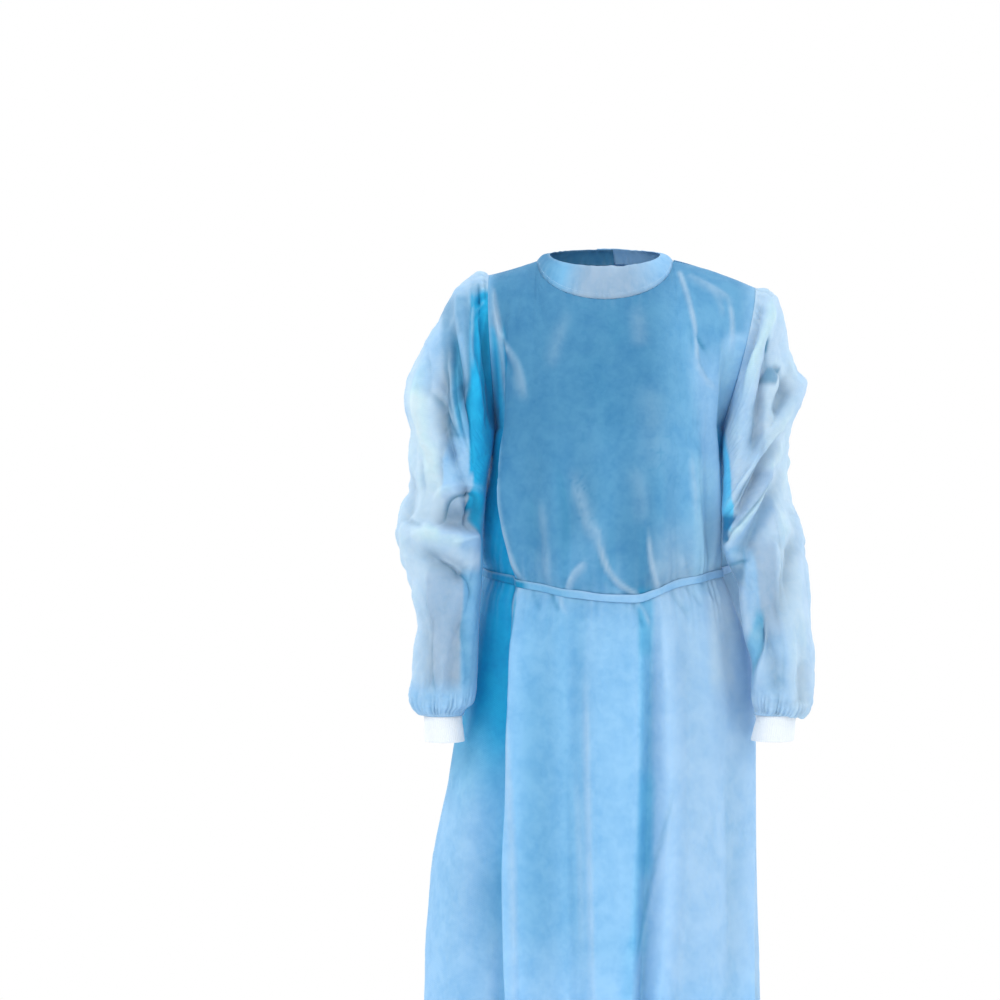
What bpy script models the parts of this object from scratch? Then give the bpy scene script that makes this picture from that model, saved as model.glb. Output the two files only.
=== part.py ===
"""An isolation gown of thin nonwoven cloth, hollow, in the form that it takes when it is worn.

Metres, +Z up, and the front faces -Y.  The origin is the middle of the neck opening, level with
the points where the shoulder seams reach the neck, because the wearer's shoulders carry the gown.
Right and left are the wearer's, so the right sleeve is at -X.

Every panel is an open sheet of cloth, worked out from the sizes below on a grid of rows and
columns, and made a wall by Solidify.  Panels stop short of each other at their seams.
"""

import math
from collections import namedtuple

import bpy
import numpy as np

# Cloth and seams
CLOTH = 0.0012  # wall of a body or sleeve panel
BAND_CLOTH = 0.0016  # wall of the folded neck binding, the belt and the ties
KNIT = 0.0018  # wall of a knitted cuff
SEAM_GAP = 0.0003
HALF_SEAM = 0.0003  # what a panel's edge is drawn back from its seam line
RIDGE_SEAM = 0.0006  # the same at a shoulder seam, where the walls meet at an angle
FINE = 1e-4  # step of the slopes that give a sheet's outward direction
NUDGE = 1e-6  # what keeps a panel's end columns on its own side of the side seam

# The torso, from the hem up to the underarms.  Side is where the side seams lie from front to back.
BODY_ROUNDNESS = 2.25  # exponent of the body's rings: 2 is an ellipse
Ring = namedtuple("Ring", "height right left front back side")
BODY_RINGS = (
    Ring(-1.140, 0.236, 0.207, 0.166, 0.178, 0.012),
    Ring(-1.000, 0.234, 0.203, 0.160, 0.170, 0.016),
    Ring(-0.850, 0.230, 0.199, 0.152, 0.161, 0.022),
    Ring(-0.760, 0.222, 0.198, 0.147, 0.155, 0.028),
    Ring(-0.680, 0.206, 0.198, 0.142, 0.149, 0.034),
    Ring(-0.600, 0.193, 0.198, 0.137, 0.143, 0.040),
    Ring(-0.540, 0.185, 0.196, 0.132, 0.138, 0.044),
    Ring(-0.480, 0.178, 0.190, 0.126, 0.130, 0.047),
    Ring(-0.440, 0.172, 0.184, 0.119, 0.124, 0.048),
    Ring(-0.405, 0.166, 0.176, 0.110, 0.114, 0.048),
    Ring(-0.370, 0.167, 0.171, 0.120, 0.120, 0.048),
    Ring(-0.320, 0.164, 0.164, 0.127, 0.122, 0.042),
    Ring(-0.270, 0.154, 0.158, 0.125, 0.120, 0.024),
    Ring(-0.215, 0.141, 0.152, 0.116, 0.116, 0.004),
)
HEM_Z = BODY_RINGS[0].height
UNDERARM_Z = BODY_RINGS[-1].height

# The belt line, lower in front than behind: how far it lies below its level, by degrees from the
# centre front
BELT_Z = -0.400
Drop = namedtuple("Drop", "degrees fall")
BELT_DROPS = (
    Drop(-90, -0.002),
    Drop(-55, 0.009),
    Drop(-30, 0.019),
    Drop(-12, 0.028),
    Drop(4, 0.033),
    Drop(13, 0.033),
    Drop(24, 0.020),
    Drop(45, 0.008),
    Drop(90, -0.006),
    Drop(135, -0.020),
    Drop(180, -0.024),
    Drop(225, -0.018),
    Drop(270, -0.002),
)
BELT_DROP_REACH = 0.090  # how far above and below the belt the rows of cloth sink with it
BELT_WIDTH = 0.009
BELT_GAP = 0.0007  # from the cloth, which is faceted between its rows and columns
BELT_NIP = 0.005  # how far the belt draws the cloth in
BELT_NIP_REACH = 0.015

# The shoulders, from the underarms up
NECK_SHARE = 0.44  # share of a panel's width that lies under the neckline
NECK_HALF_WIDTH = 0.088
NECK_SIDE_Z = 0.002
NECK_FRONT = (-0.076, -0.054)  # y and z of the neck seam at the centre front
NECK_BACK = (0.060, 0.000)
RIDGE_Y = 0.004  # the shoulder seam's place from front to back
SHOULDER_TURN = math.radians(88)  # how far a panel turns over towards the shoulder seam
NECK_TURN = math.radians(52)  # and towards the neckline
ARMHOLE_FRONT = 0.054  # how far an armhole's front edge stands forward
ARMHOLE_BACK = 0.058
Armhole = namedtuple("Armhole", "side tip_x tip_z bow ridge")  # ridge 1 is a straight shoulder
ARMHOLES = {
    "right": Armhole(-1, -0.1495, -0.0165, -0.004, 1.2),
    "left": Armhole(1, 0.1940, -0.0330, 0.013, 0.6),
}

# The folds' ridges and hollows, each a line from the hem to the underarms.  The first five sizes
# are its angle from the centre front, in degrees, at the hem, thigh, hip, waist and chest; the
# next six are how far it stands out, in millimetres, at the hem, thigh, hip, waist, ribs and
# chest.  Columns is how many columns of cloth lie between it and the next line.
LINE_HEIGHTS = (-1.140, -0.700, -0.500, -0.420, -0.215)
DEPTH_HEIGHTS = (-1.140, -0.700, -0.500, -0.420, -0.330, -0.215)
Line = namedtuple(
    "Line",
    "name hem thigh hip waist chest out_hem out_thigh out_hip out_waist out_rib out_chest columns",
)
BODY_LINES = (
    Line("right seam", -90, -90, -90, -90, -90, 0, 0, 0, 0, 0, 0, 3),
    Line("right swell", -55, -59, -66, -68, -79, 10, 6, 2, 0, -2, -2, 3),
    Line("right hollow", -28.5, -37, -43, -45.5, -70, -20, -25, -23, -8, -17, -8, 2),
    Line("right edge", -24, -31.5, -36, -38, -61, 13, 14, 11, 3, 9, 3, 3),
    Line("right flat", -15, -19, -23, -25, -37, -5, -4, -2, -1, -3, 0, 2),
    Line("right soft ridge", -8.5, -11, -14, -16, -21, 5, 3, 5, 1, 6, 1, 2),
    Line("middle hollow", -5, -7, -8, -8, -9, -3, -2, -4, -2, -6, -1, 2),
    Line("middle ridge", -0.5, -1, 0, 1, 1, 8, 6, 4, 1, 7, 1, 2),
    Line("pleat edge", 6, 8.5, 10.5, 11.5, 10, 8, 8, 5, 1, -2, 0, 2),
    Line("pleat hollow", 8.5, 14, 15.5, 16, 17, -11, -13, -9, -3, 3, 1, 2),
    Line("pleat cover", 11, 21, 20, 20.5, 24, 9, 10, 7, 2, 8, 1, 2),
    Line("left flat", 20, 30, 30, 30, 35, -3, -1, -3, -2, -4, 0, 2),
    Line("left ridge", 30, 41, 41, 41, 47, 5, 3, 3, 1, 4, 1, 2),
    Line("left soft hollow", 44, 54, 54, 50, 57, -4, -3, -3, -1, -6, -1, 2),
    Line("left edge", 61, 69, 67, 59, 66, 8, 6, 6, 2, 3, 1, 2),
    Line("left hollow", 71, 78, 76, 68, 75, -6, -9, -16, -10, -14, -6, 3),
    Line("left seam", 90, 90, 90, 90, 90, 0, 0, 0, 0, 0, 0, 3),
    Line("back left hollow", 114, 112, 110, 110, 110, -14, -11, -8, -2, -6, -2, 3),
    Line("back left ridge", 136, 134, 132, 132, 132, 12, 10, 7, 1, 4, 0, 3),
    Line("under edge", 156, 156, 156, 156, 156, -7, -6, -5, -2, -4, 0, 3),
    Line("centre back", 180, 180, 180, 180, 180, 4, 4, 3, 0, 0, 0, 3),
    Line("over edge", 204, 204, 204, 204, 204, -7, -6, -5, -2, -4, 0, 3),
    Line("back right ridge", 225, 226, 228, 228, 228, 12, 10, 7, 1, 4, 0, 3),
    Line("back right hollow", 247, 249, 250, 250, 250, -14, -11, -8, -2, -6, -2, 3),
    Line("right seam again", 270, 270, 270, 270, 270, 0, 0, 0, 0, 0, 0, 0),
)

# The back opening: the left back lies over the right back, and both end at a line named above
OVER = 0.0026  # the outer panel's lift at the overlap
OVER_FROM = math.radians(118)  # angle from the centre front where that lift begins
OVER_FULL = math.radians(152)
OVER_EDGE = math.radians(206)
OVER_GONE = math.radians(222)

# Sleeves: each row is a ring round the arm.  The outer point faces away from the body and the
# inner point faces it; depth is half the ring's width from front to back.
Row = namedtuple("Row", "share outer_x outer_z inner_x inner_z outer_y inner_y depth")
SLEEVES = {
    "right": (
        Row(0.04, -0.168, -0.0145, -0.1470, -0.222, 0.005, -0.003, 0.061),
        Row(0.08, -0.190, -0.030, -0.1480, -0.231, 0.009, -0.010, 0.065),
        Row(0.12, -0.204, -0.050, -0.1490, -0.242, 0.014, -0.018, 0.067),
        Row(0.16, -0.217, -0.073, -0.1490, -0.252, 0.018, -0.028, 0.067),
        Row(0.21, -0.232, -0.098, -0.1490, -0.263, 0.020, -0.035, 0.066),
        Row(0.26, -0.248, -0.127, -0.1500, -0.273, 0.022, -0.040, 0.065),
        Row(0.32, -0.262, -0.163, -0.1510, -0.285, 0.022, -0.042, 0.063),
        Row(0.36, -0.262, -0.185, -0.1520, -0.296, 0.020, -0.044, 0.062),
        Row(0.41, -0.255, -0.217, -0.1530, -0.309, 0.016, -0.046, 0.061),
        Row(0.47, -0.256, -0.257, -0.1540, -0.322, 0.012, -0.047, 0.059),
        Row(0.53, -0.257, -0.298, -0.1550, -0.336, 0.006, -0.048, 0.059),
        Row(0.57, -0.268, -0.325, -0.1560, -0.350, 0.000, -0.050, 0.060),
        Row(0.61, -0.271, -0.348, -0.1560, -0.364, -0.006, -0.053, 0.060),
        Row(0.66, -0.264, -0.380, -0.1560, -0.384, -0.016, -0.058, 0.057),
        Row(0.71, -0.252, -0.412, -0.1570, -0.413, -0.030, -0.064, 0.052),
        Row(0.75, -0.247, -0.438, -0.1590, -0.442, -0.042, -0.069, 0.050),
        Row(0.79, -0.240, -0.463, -0.1600, -0.468, -0.052, -0.075, 0.048),
        Row(0.84, -0.244, -0.500, -0.1610, -0.502, -0.062, -0.080, 0.048),
        Row(0.89, -0.246, -0.535, -0.1620, -0.535, -0.072, -0.084, 0.047),
        Row(0.94, -0.248, -0.567, -0.1640, -0.562, -0.078, -0.086, 0.044),
        Row(0.97, -0.244, -0.581, -0.1690, -0.576, -0.082, -0.086, 0.040),
        Row(0.99, -0.236, -0.588, -0.1780, -0.583, -0.084, -0.085, 0.034),
    ),
    "left": (
        Row(0.04, 0.2100, -0.0340, 0.1575, -0.223, 0.005, -0.001, 0.061),
        Row(0.08, 0.2210, -0.042, 0.1560, -0.232, 0.008, -0.008, 0.065),
        Row(0.12, 0.2300, -0.057, 0.1550, -0.243, 0.013, -0.017, 0.067),
        Row(0.16, 0.2360, -0.080, 0.1540, -0.254, 0.017, -0.026, 0.067),
        Row(0.21, 0.2410, -0.110, 0.1530, -0.264, 0.020, -0.033, 0.066),
        Row(0.26, 0.2510, -0.136, 0.1520, -0.275, 0.022, -0.038, 0.065),
        Row(0.32, 0.2650, -0.158, 0.1510, -0.286, 0.024, -0.042, 0.063),
        Row(0.36, 0.2580, -0.182, 0.1510, -0.297, 0.024, -0.045, 0.062),
        Row(0.41, 0.2460, -0.210, 0.1500, -0.310, 0.023, -0.052, 0.061),
        Row(0.47, 0.2400, -0.243, 0.1490, -0.323, 0.020, -0.058, 0.060),
        Row(0.53, 0.2390, -0.281, 0.1500, -0.337, 0.015, -0.064, 0.059),
        Row(0.57, 0.2430, -0.309, 0.1495, -0.351, 0.008, -0.069, 0.058),
        Row(0.61, 0.2530, -0.335, 0.1490, -0.366, -0.001, -0.073, 0.056),
        Row(0.66, 0.2590, -0.372, 0.1555, -0.388, -0.012, -0.075, 0.054),
        Row(0.71, 0.2620, -0.412, 0.1690, -0.418, -0.024, -0.074, 0.052),
        Row(0.75, 0.2640, -0.446, 0.1720, -0.448, -0.034, -0.075, 0.050),
        Row(0.79, 0.2660, -0.483, 0.1770, -0.483, -0.044, -0.075, 0.048),
        Row(0.84, 0.2680, -0.518, 0.1860, -0.514, -0.052, -0.075, 0.047),
        Row(0.89, 0.2670, -0.550, 0.1860, -0.542, -0.060, -0.076, 0.045),
        Row(0.94, 0.2640, -0.577, 0.1860, -0.564, -0.066, -0.076, 0.041),
        Row(0.97, 0.2575, -0.588, 0.1880, -0.577, -0.070, -0.075, 0.037),
        Row(0.99, 0.2490, -0.593, 0.1905, -0.584, -0.073, -0.074, 0.033),
    ),
}
SLEEVE_START = (0.003, 0.058)  # y and half depth of the ring that stands for the armhole
SLEEVE_BLEND = 0.12  # share of the sleeve over which its rings change from the armhole's shape
UNDERARM_STEP = 0.0017  # how much further it hangs off the body at the underarm
SLEEVE_FIT = 0.0010  # air between a sleeve's gathered end and the cuff in it
SLEEVE_END_Z = -0.590

Cuff = namedtuple("Cuff", "top_x top_z foot_x foot_z y top_half foot_half depth")
CUFFS = {
    "right": Cuff(-0.2065, -0.574, -0.2025, -0.614, -0.084, 0.0225, 0.0245, 0.0285),
    "left": Cuff(0.2180, -0.574, 0.2130, -0.614, -0.074, 0.0235, 0.0265, 0.0285),
}

# Creases of a sleeve: angle 0 is its outer side, 90 its front and 180 the side next to the body
Crease = namedtuple("Crease", "angle_1 share_1 angle_2 share_2 depth width")
SLEEVE_CREASES = {
    "right": (
        Crease(36, 0.030, 140, 0.022, -0.010, 0.011),
        Crease(24, 0.080, 128, 0.095, 0.010, 0.013),
        Crease(40, 0.140, 122, 0.170, -0.015, 0.013),
        Crease(60, 0.190, 112, 0.400, -0.016, 0.015),
        Crease(112, 0.400, 165, 0.570, -0.014, 0.014),
        Crease(36, 0.220, 78, 0.470, 0.009, 0.018),
        Crease(72, 0.560, 156, 0.535, -0.017, 0.014),
        Crease(60, 0.600, 165, 0.595, 0.010, 0.013),
        Crease(52, 0.650, 140, 0.700, -0.016, 0.013),
        Crease(14, 0.500, 46, 0.580, -0.009, 0.014),
        Crease(48, 0.760, 60, 0.930, -0.009, 0.014),
        Crease(122, 0.750, 108, 0.940, -0.010, 0.014),
        Crease(285, 0.120, 250, 0.460, -0.013, 0.018),
        Crease(330, 0.620, 215, 0.580, -0.014, 0.018),
        Crease(300, 0.710, 220, 0.750, -0.012, 0.016),
    ),
    "left": (
        Crease(40, 0.025, 140, 0.022, -0.007, 0.011),
        Crease(28, 0.080, 118, 0.085, 0.008, 0.014),
        Crease(38, 0.255, 80, 0.305, -0.016, 0.013),
        Crease(70, 0.120, 116, 0.350, -0.013, 0.015),
        Crease(56, 0.400, 136, 0.540, -0.015, 0.013),
        Crease(60, 0.460, 150, 0.610, 0.011, 0.013),
        Crease(48, 0.510, 152, 0.680, -0.015, 0.013),
        Crease(36, 0.620, 92, 0.780, -0.012, 0.015),
        Crease(132, 0.720, 100, 0.930, -0.012, 0.015),
        Crease(56, 0.820, 46, 0.950, -0.009, 0.013),
        Crease(280, 0.120, 248, 0.460, -0.013, 0.018),
        Crease(325, 0.600, 215, 0.580, -0.014, 0.018),
        Crease(300, 0.710, 225, 0.750, -0.012, 0.016),
    ),
}

# The neck binding, a folded strip that lies up the neck from the neck seam
BINDING_HALF_WIDTH = 0.072  # of its inner edge
BINDING_SIDE_Z = 0.011
BINDING_FRONT = (-0.060, -0.011)
BINDING_BACK = (0.047, 0.021)
BINDING_OVERLAP = 0.14  # how far round each end passes the nape, in radians
BINDING_LIFT = 0.0026  # how far its left end lies outside its right end
BINDING_SWELL = 0.003
BINDING_SHARES = (0.0, 0.35, 0.7, 1.0)

# Ties and knots at the back
TIE_WIDTH = 0.012
TIE_LIFT = 0.0036  # from the cloth that a tie hangs over
Tie = namedtuple("Tie", "name top_x top_z foot_x foot_z")
TIES = (
    Tie("belt_end_right", -0.0070, -0.4078, -0.0260, -0.655),
    Tie("belt_end_left", 0.0075, -0.4077, 0.0200, -0.615),
    Tie("neck_end_right", -0.0068, -0.0055, -0.0200, -0.160),
    Tie("neck_end_left", 0.0068, -0.0055, 0.0160, -0.140),
)
Knot = namedtuple("Knot", "name z width depth height lift")
KNOTS = (
    Knot("belt_knot", BELT_Z, 0.028, 0.014, 0.021, 0.0028),
    Knot("neck_knot", 0.0030, 0.024, 0.012, 0.018, 0.0012),
)

# Rows and columns of each sheet
TORSO_ROWS = (-1.140, -1.05, -0.96, -0.87, -0.78, -0.70, -0.63, -0.57, -0.52, -0.48, -0.45, -0.429,
              BELT_Z - 0.012, BELT_Z - BELT_WIDTH / 2, BELT_Z + BELT_WIDTH / 2, BELT_Z + 0.012,
              -0.380, -0.360, -0.335, -0.305, -0.275, -0.245, -0.215)
SHOULDER_ROWS = 7
SLEEVE_SHARES = (0.0, 0.022, 0.048, 0.078, 0.110, 0.145, 0.185, 0.225, 0.265, 0.305, 0.345, 0.385,
                 0.420, 0.455, 0.490, 0.525, 0.560, 0.595, 0.630, 0.665, 0.700, 0.735, 0.775, 0.820,
                 0.865, 0.910, 0.945, 0.972, 1.0)
SLEEVE_FRONT_COLUMNS = 15
SLEEVE_BACK_COLUMNS = 9
CUFF_ROWS = 4
CUFF_COLUMNS = 24
BINDING_COLUMNS = 46
TIE_ROWS = 10


def curve(known, values, at):
    """A smooth curve through known values, each end held beyond the table."""
    known, values = np.asarray(known, float), np.asarray(values, float)
    slopes = np.gradient(values, known)
    cell = np.clip(np.searchsorted(known, at) - 1, 0, len(known) - 2)
    width = known[cell + 1] - known[cell]
    t = np.clip((at - known[cell]) / width, 0.0, 1.0)
    return (
        values[cell] * (1 + 2 * t) * (1 - t) ** 2
        + slopes[cell] * width * t * (1 - t) ** 2
        + values[cell + 1] * t**2 * (3 - 2 * t)
        - slopes[cell + 1] * width * t**2 * (1 - t)
    )


def column_of(rows, name, at):
    """A table's named column, as a curve over the table's first one."""
    return curve([row[0] for row in rows], [getattr(row, name) for row in rows], at)


def smooth_step(value):
    """0 below 0, 1 above 1 and an even S between them."""
    t = np.clip(value, 0.0, 1.0)
    return t * t * (3 - 2 * t)


def power(value, exponent):
    """A power that keeps its base's sign."""
    return np.sign(value) * np.abs(value) ** exponent


def level_of(z):
    """A torso height as a level: 0 at the hem and 1 at the underarms."""
    return (z - HEM_Z) / (UNDERARM_Z - HEM_Z)


def height_of(level):
    """The torso height of a level, before the rows tilt with the belt."""
    return HEM_Z + (UNDERARM_Z - HEM_Z) * np.clip(level, 0.0, 1.0)


def torso_point(angle, height):
    """A point of the plain torso tube, before its folds."""
    right, left = column_of(BODY_RINGS, "right", height), column_of(BODY_RINGS, "left", height)
    front, back = column_of(BODY_RINGS, "front", height), column_of(BODY_RINGS, "back", height)
    side = column_of(BODY_RINGS, "side", height)
    x = np.where(np.sin(angle) < 0, right, left) * power(np.sin(angle), 2 / BODY_ROUNDNESS)
    reach = np.where(np.cos(angle) > 0, front + side, back - side)
    y = side - reach * power(np.cos(angle), 2 / BODY_ROUNDNESS)
    near_belt = np.exp(-(((height - BELT_Z) / BELT_DROP_REACH) ** 2))
    return x, y, height - column_of(BELT_DROPS, "fall", np.degrees(angle)) * near_belt


def top_edge(across, front):
    """The upper edge of a front or back panel: shoulder seam, neck seam, shoulder seam."""
    beyond = np.clip((np.abs(across) - NECK_SHARE) / (1 - NECK_SHARE), 0.0, 1.0)
    tip_x = np.where(across < 0, ARMHOLES["right"].tip_x, ARMHOLES["left"].tip_x)
    tip_z = np.where(across < 0, ARMHOLES["right"].tip_z, ARMHOLES["left"].tip_z)
    round_neck = np.clip(across / NECK_SHARE, -1.0, 1.0) * math.pi / 2
    shoulder_x = np.sign(across) * NECK_HALF_WIDTH * (1 - beyond) + tip_x * beyond
    x = np.where(beyond > 0, shoulder_x, NECK_HALF_WIDTH * np.sin(round_neck))
    ridge = np.where(across < 0, ARMHOLES["right"].ridge, ARMHOLES["left"].ridge)
    fall = (NECK_SIDE_Z - tip_z) * (ridge * beyond + (1 - ridge) * beyond**2)
    dip = np.cos(round_neck)
    y = RIDGE_Y + (np.where(front, NECK_FRONT[0], NECK_BACK[0]) - RIDGE_Y) * dip
    z = NECK_SIDE_Z - fall + (np.where(front, NECK_FRONT[1], NECK_BACK[1]) - NECK_SIDE_Z) * dip
    return x, y, z


def shoulder_point(angle, rise):
    """A point of the body above the underarms; rise is 0 there and 1 at the shoulder seam."""
    front = np.cos(angle) > 0
    around = np.where(angle > math.radians(270), angle - 2 * math.pi, angle)
    across = np.where(front, around, math.pi - around) / (math.pi / 2)
    low_x, low_y, low_z = torso_point(angle, np.full_like(angle, UNDERARM_Z))
    top_x, top_y, top_z = top_edge(across, front)
    under_neck = smooth_step((NECK_SHARE + 0.12 - np.abs(across)) / 0.24)
    turn = SHOULDER_TURN + (NECK_TURN - SHOULDER_TURN) * under_neck
    over = (np.cos(turn * rise) - np.cos(turn)) / (1 - np.cos(turn))
    up = np.sin(turn * rise) / np.sin(turn)
    edge = np.abs(across) ** 4 * np.sin(math.pi * rise) ** 0.85
    bow = np.where(across < 0, ARMHOLES["right"].bow, ARMHOLES["left"].bow)
    x = low_x + (top_x - low_x) * rise + bow * edge
    y = top_y + (low_y - top_y) * over + np.where(front, -ARMHOLE_FRONT, ARMHOLE_BACK) * edge
    z = low_z + (top_z - low_z) * up
    return x, y, z


def plain_body(angle, level):
    """The body's sheet without folds, at levels from 0, the hem, past 1, the underarms, to 2."""
    angle, level = np.broadcast_arrays(np.asarray(angle, float), np.asarray(level, float))
    low = torso_point(angle, height_of(level))
    high = shoulder_point(angle, np.clip(level - 1, 0.0, 1.0))
    return np.stack([np.where(level > 1, h, w) for w, h in zip(low, high)], axis=-1)


def slopes_of(sheet, a, b, b_high):
    """How fast a sheet's points move with each of its two parameters."""
    along_a = (sheet(a + FINE, b) - sheet(a - FINE, b)) / (2 * FINE)
    above, below = np.minimum(b + FINE, b_high), np.maximum(b - FINE, 0.0)
    along_b = (sheet(a, above) - sheet(a, below)) / (above - below)[..., None]
    return along_a, along_b


def outward(along_a, along_b):
    """Unit directions square to a sheet."""
    normal = np.cross(along_a, along_b)
    return normal / np.maximum(np.linalg.norm(normal, axis=-1, keepdims=True), 1e-12)


def line_angle(line, level):
    """A fold line's angle at a level."""
    return np.radians(curve(LINE_HEIGHTS, line[1:6], height_of(level)))


def line_depth(line, level):
    """How far a fold line stands out at a level; its folds die away towards the shoulders."""
    depth = curve(DEPTH_HEIGHTS, line[6:12], height_of(level)) / 1000
    return depth * (1 - smooth_step((level - 1) / 0.7))


def body_relief(angle, level):
    """How far the folds and the belt's draw move the body's sheet outwards."""
    relief = -BELT_NIP * np.exp(-(((height_of(level) - BELT_Z) / BELT_NIP_REACH) ** 2))
    for line, after in zip(BODY_LINES, BODY_LINES[1:]):
        start, end = line_angle(line, level), line_angle(after, level)
        share = smooth_step((angle - start) / (end - start))
        depth = line_depth(line, level) * (1 - share) + line_depth(after, level) * share
        relief = relief + np.where((angle >= start) & (angle < end), depth, 0.0)
    return relief


def body_sheet(angle, level, lift=0.0):
    """The body's sheet with its folds, moved out by a lift."""
    angle, level = np.broadcast_arrays(np.asarray(angle, float), np.asarray(level, float))
    points = plain_body(angle, level)
    normal = outward(*slopes_of(plain_body, angle, level, 2.0))
    return points + normal * (body_relief(angle, level) + lift)[..., None]


def body_columns(level, first, last):
    """The angles of a panel's columns at a level, which follow the fold lines between two of them."""
    names = [line.name for line in BODY_LINES]
    chosen = range(names.index(first), names.index(last))
    columns = []
    for index in chosen:
        start, end = line_angle(BODY_LINES[index], level), line_angle(BODY_LINES[index + 1], level)
        count = BODY_LINES[index].columns
        columns.extend(start + (end - start) * step / count for step in range(count))
    columns.append(line_angle(BODY_LINES[chosen[-1] + 1], level))
    columns[0], columns[-1] = columns[0] + NUDGE, columns[-1] - NUDGE
    return np.stack(columns, axis=-1)


def overlap_lift(angle):
    """The lift of the outer layer where the left back lies over the right back."""
    risen = smooth_step((angle - OVER_FROM) / (OVER_FULL - OVER_FROM))
    return OVER * risen * (1 - smooth_step((angle - OVER_EDGE) / (OVER_GONE - OVER_EDGE)))


def nearer(points, towards, reach):
    """Points moved a short way towards their neighbours."""
    step = towards - points
    return points + step / np.linalg.norm(step, axis=-1, keepdims=True) * reach


def drawn_back(points):
    """A body panel's points, with its side and top edges stopped short of their seams."""
    points = points.copy()
    points[:, 0] = nearer(points[:, 0], points[:, 1], HALF_SEAM)
    points[:, -1] = nearer(points[:, -1], points[:, -2], HALF_SEAM)
    points[-1] = nearer(points[-1], points[-2], RIDGE_SEAM)
    return points


def armhole_ring(side, angle):
    """The edge of an armhole, moved off the body: angle 0 is the shoulder tip, 90 the front."""
    turn = np.mod(angle, 2 * math.pi)
    rise = np.abs(1 - turn / math.pi)
    quarter = ARMHOLES[side].side * math.pi / 2
    quarter += 0.0 if side == "left" else 2 * math.pi * (turn >= math.pi)
    inwards = np.where(turn < math.pi, -NUDGE, NUDGE) * ARMHOLES[side].side
    edge = plain_body(quarter + inwards, 1 + rise)
    edge[..., 0] += ARMHOLES[side].side * (SEAM_GAP + UNDERARM_STEP * (1 - rise))
    return edge


def round_ring(size, angle):
    """A sleeve's ring between its outer and its inner point."""
    across = (1 + np.cos(angle)) / 2
    x, y, z = (
        size[f"inner_{axis}"] + (size[f"outer_{axis}"] - size[f"inner_{axis}"]) * across
        for axis in "xyz"
    )
    return np.stack([x, y - size["depth"] * power(np.sin(angle), 0.92), z], axis=-1)


def sleeve_rows(side):
    """A sleeve's table with its first ring, the armhole, and its last one, round the cuff."""
    rows, cuff, armhole = SLEEVES[side], CUFFS[side], ARMHOLES[side]
    start_y, start_depth = SLEEVE_START
    tip_x, tip_z, inner_x = armhole.tip_x, armhole.tip_z, rows[0].inner_x
    start = Row(0.0, tip_x, tip_z, inner_x, UNDERARM_Z, start_y, start_y, start_depth)
    out = KNIT / 2 + SLEEVE_FIT + CLOTH / 2
    share = (cuff.top_z - SLEEVE_END_Z) / (cuff.top_z - cuff.foot_z)
    x = cuff.top_x + (cuff.foot_x - cuff.top_x) * share
    half = armhole.side * (cuff.top_half + (cuff.foot_half - cuff.top_half) * share + out)
    depth = cuff.depth + out
    end = Row(1.0, x + half, SLEEVE_END_Z, x - half, SLEEVE_END_Z, cuff.y, cuff.y, depth)
    return (start, *rows, end)


def plain_sleeve(side, angle, share):
    """A sleeve's sheet without creases: share runs from 0, the armhole, to 1, the cuff."""
    angle, share = np.broadcast_arrays(np.asarray(angle, float), np.asarray(share, float))
    rows = sleeve_rows(side)
    ring = round_ring({name: column_of(rows, name, share) for name in Row._fields[1:]}, angle)
    first = round_ring(rows[0]._asdict(), angle)
    from_armhole = smooth_step(1 - share / SLEEVE_BLEND)[..., None]
    return ring + (armhole_ring(side, angle) - first) * from_armhole


def crease_relief(crease, angle, share, girth, length):
    """One crease of a sleeve: a soft trough or ridge along a line, fading towards both ends."""
    start, end = math.radians(crease.angle_1), math.radians(crease.angle_2)
    turned = np.mod(angle - (start + end) / 2 + math.pi, 2 * math.pi) - math.pi + (start + end) / 2
    across, down = (turned - start) * girth, (share - crease.share_1) * length
    line_across, line_down = (end - start) * girth, (crease.share_2 - crease.share_1) * length
    along = (across * line_across + down * line_down) / (line_across**2 + line_down**2)
    along = np.clip(along, 0.0, 1.0)
    off = np.hypot(across - along * line_across, down - along * line_down)
    strength = 0.25 + 0.75 * smooth_step(along / 0.25) * smooth_step((1 - along) / 0.25)
    return crease.depth * strength * np.exp(-((off / crease.width) ** 2))


def sleeve_sheet(side, angle, share):
    """A sleeve's sheet with its creases."""
    angle, share = np.broadcast_arrays(np.asarray(angle, float), np.asarray(share, float))

    def sheet(turn, down):
        return plain_sleeve(side, turn, down)

    along_a, along_b = slopes_of(sheet, angle, share, 1.0)
    girth, length = np.linalg.norm(along_a, axis=-1), np.linalg.norm(along_b, axis=-1)
    relief = sum(crease_relief(crease, angle, share, girth, length) for crease in SLEEVE_CREASES[side])
    relief = relief * smooth_step(share / 0.04) * smooth_step((0.985 - share) / 0.05)
    return sheet(angle, share) + outward(along_a, along_b) * (ARMHOLES[side].side * relief)[..., None]


def binding_edge(angle, half_width, side_z, front, back):
    """One edge of the neck binding, at an angle from the centre front."""
    dip = np.cos(angle)
    y = RIDGE_Y + (np.where(dip > 0, front[0], back[0]) - RIDGE_Y) * np.abs(dip)
    z = side_z + (np.where(dip > 0, front[1], back[1]) - side_z) * np.abs(dip)
    return np.stack([half_width * np.sin(angle), y, z], axis=-1)


def grid_mesh(name, points, closed):
    """An open or tubular mesh through a grid of points, one quad between four neighbours."""
    rows, columns = points.shape[:2]
    last = columns if closed else columns - 1
    row, column = np.meshgrid(np.arange(rows - 1), np.arange(last), indexing="ij")
    low, high, after = row * columns, (row + 1) * columns, (column + 1) % columns
    corners = np.stack([low + column, low + after, high + after, high + column], axis=-1)
    mesh = bpy.data.meshes.new(name)
    mesh.from_pydata(points.reshape(-1, 3).tolist(), [], corners.reshape(-1, 4).tolist())
    mesh.shade_smooth()
    return mesh


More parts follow.
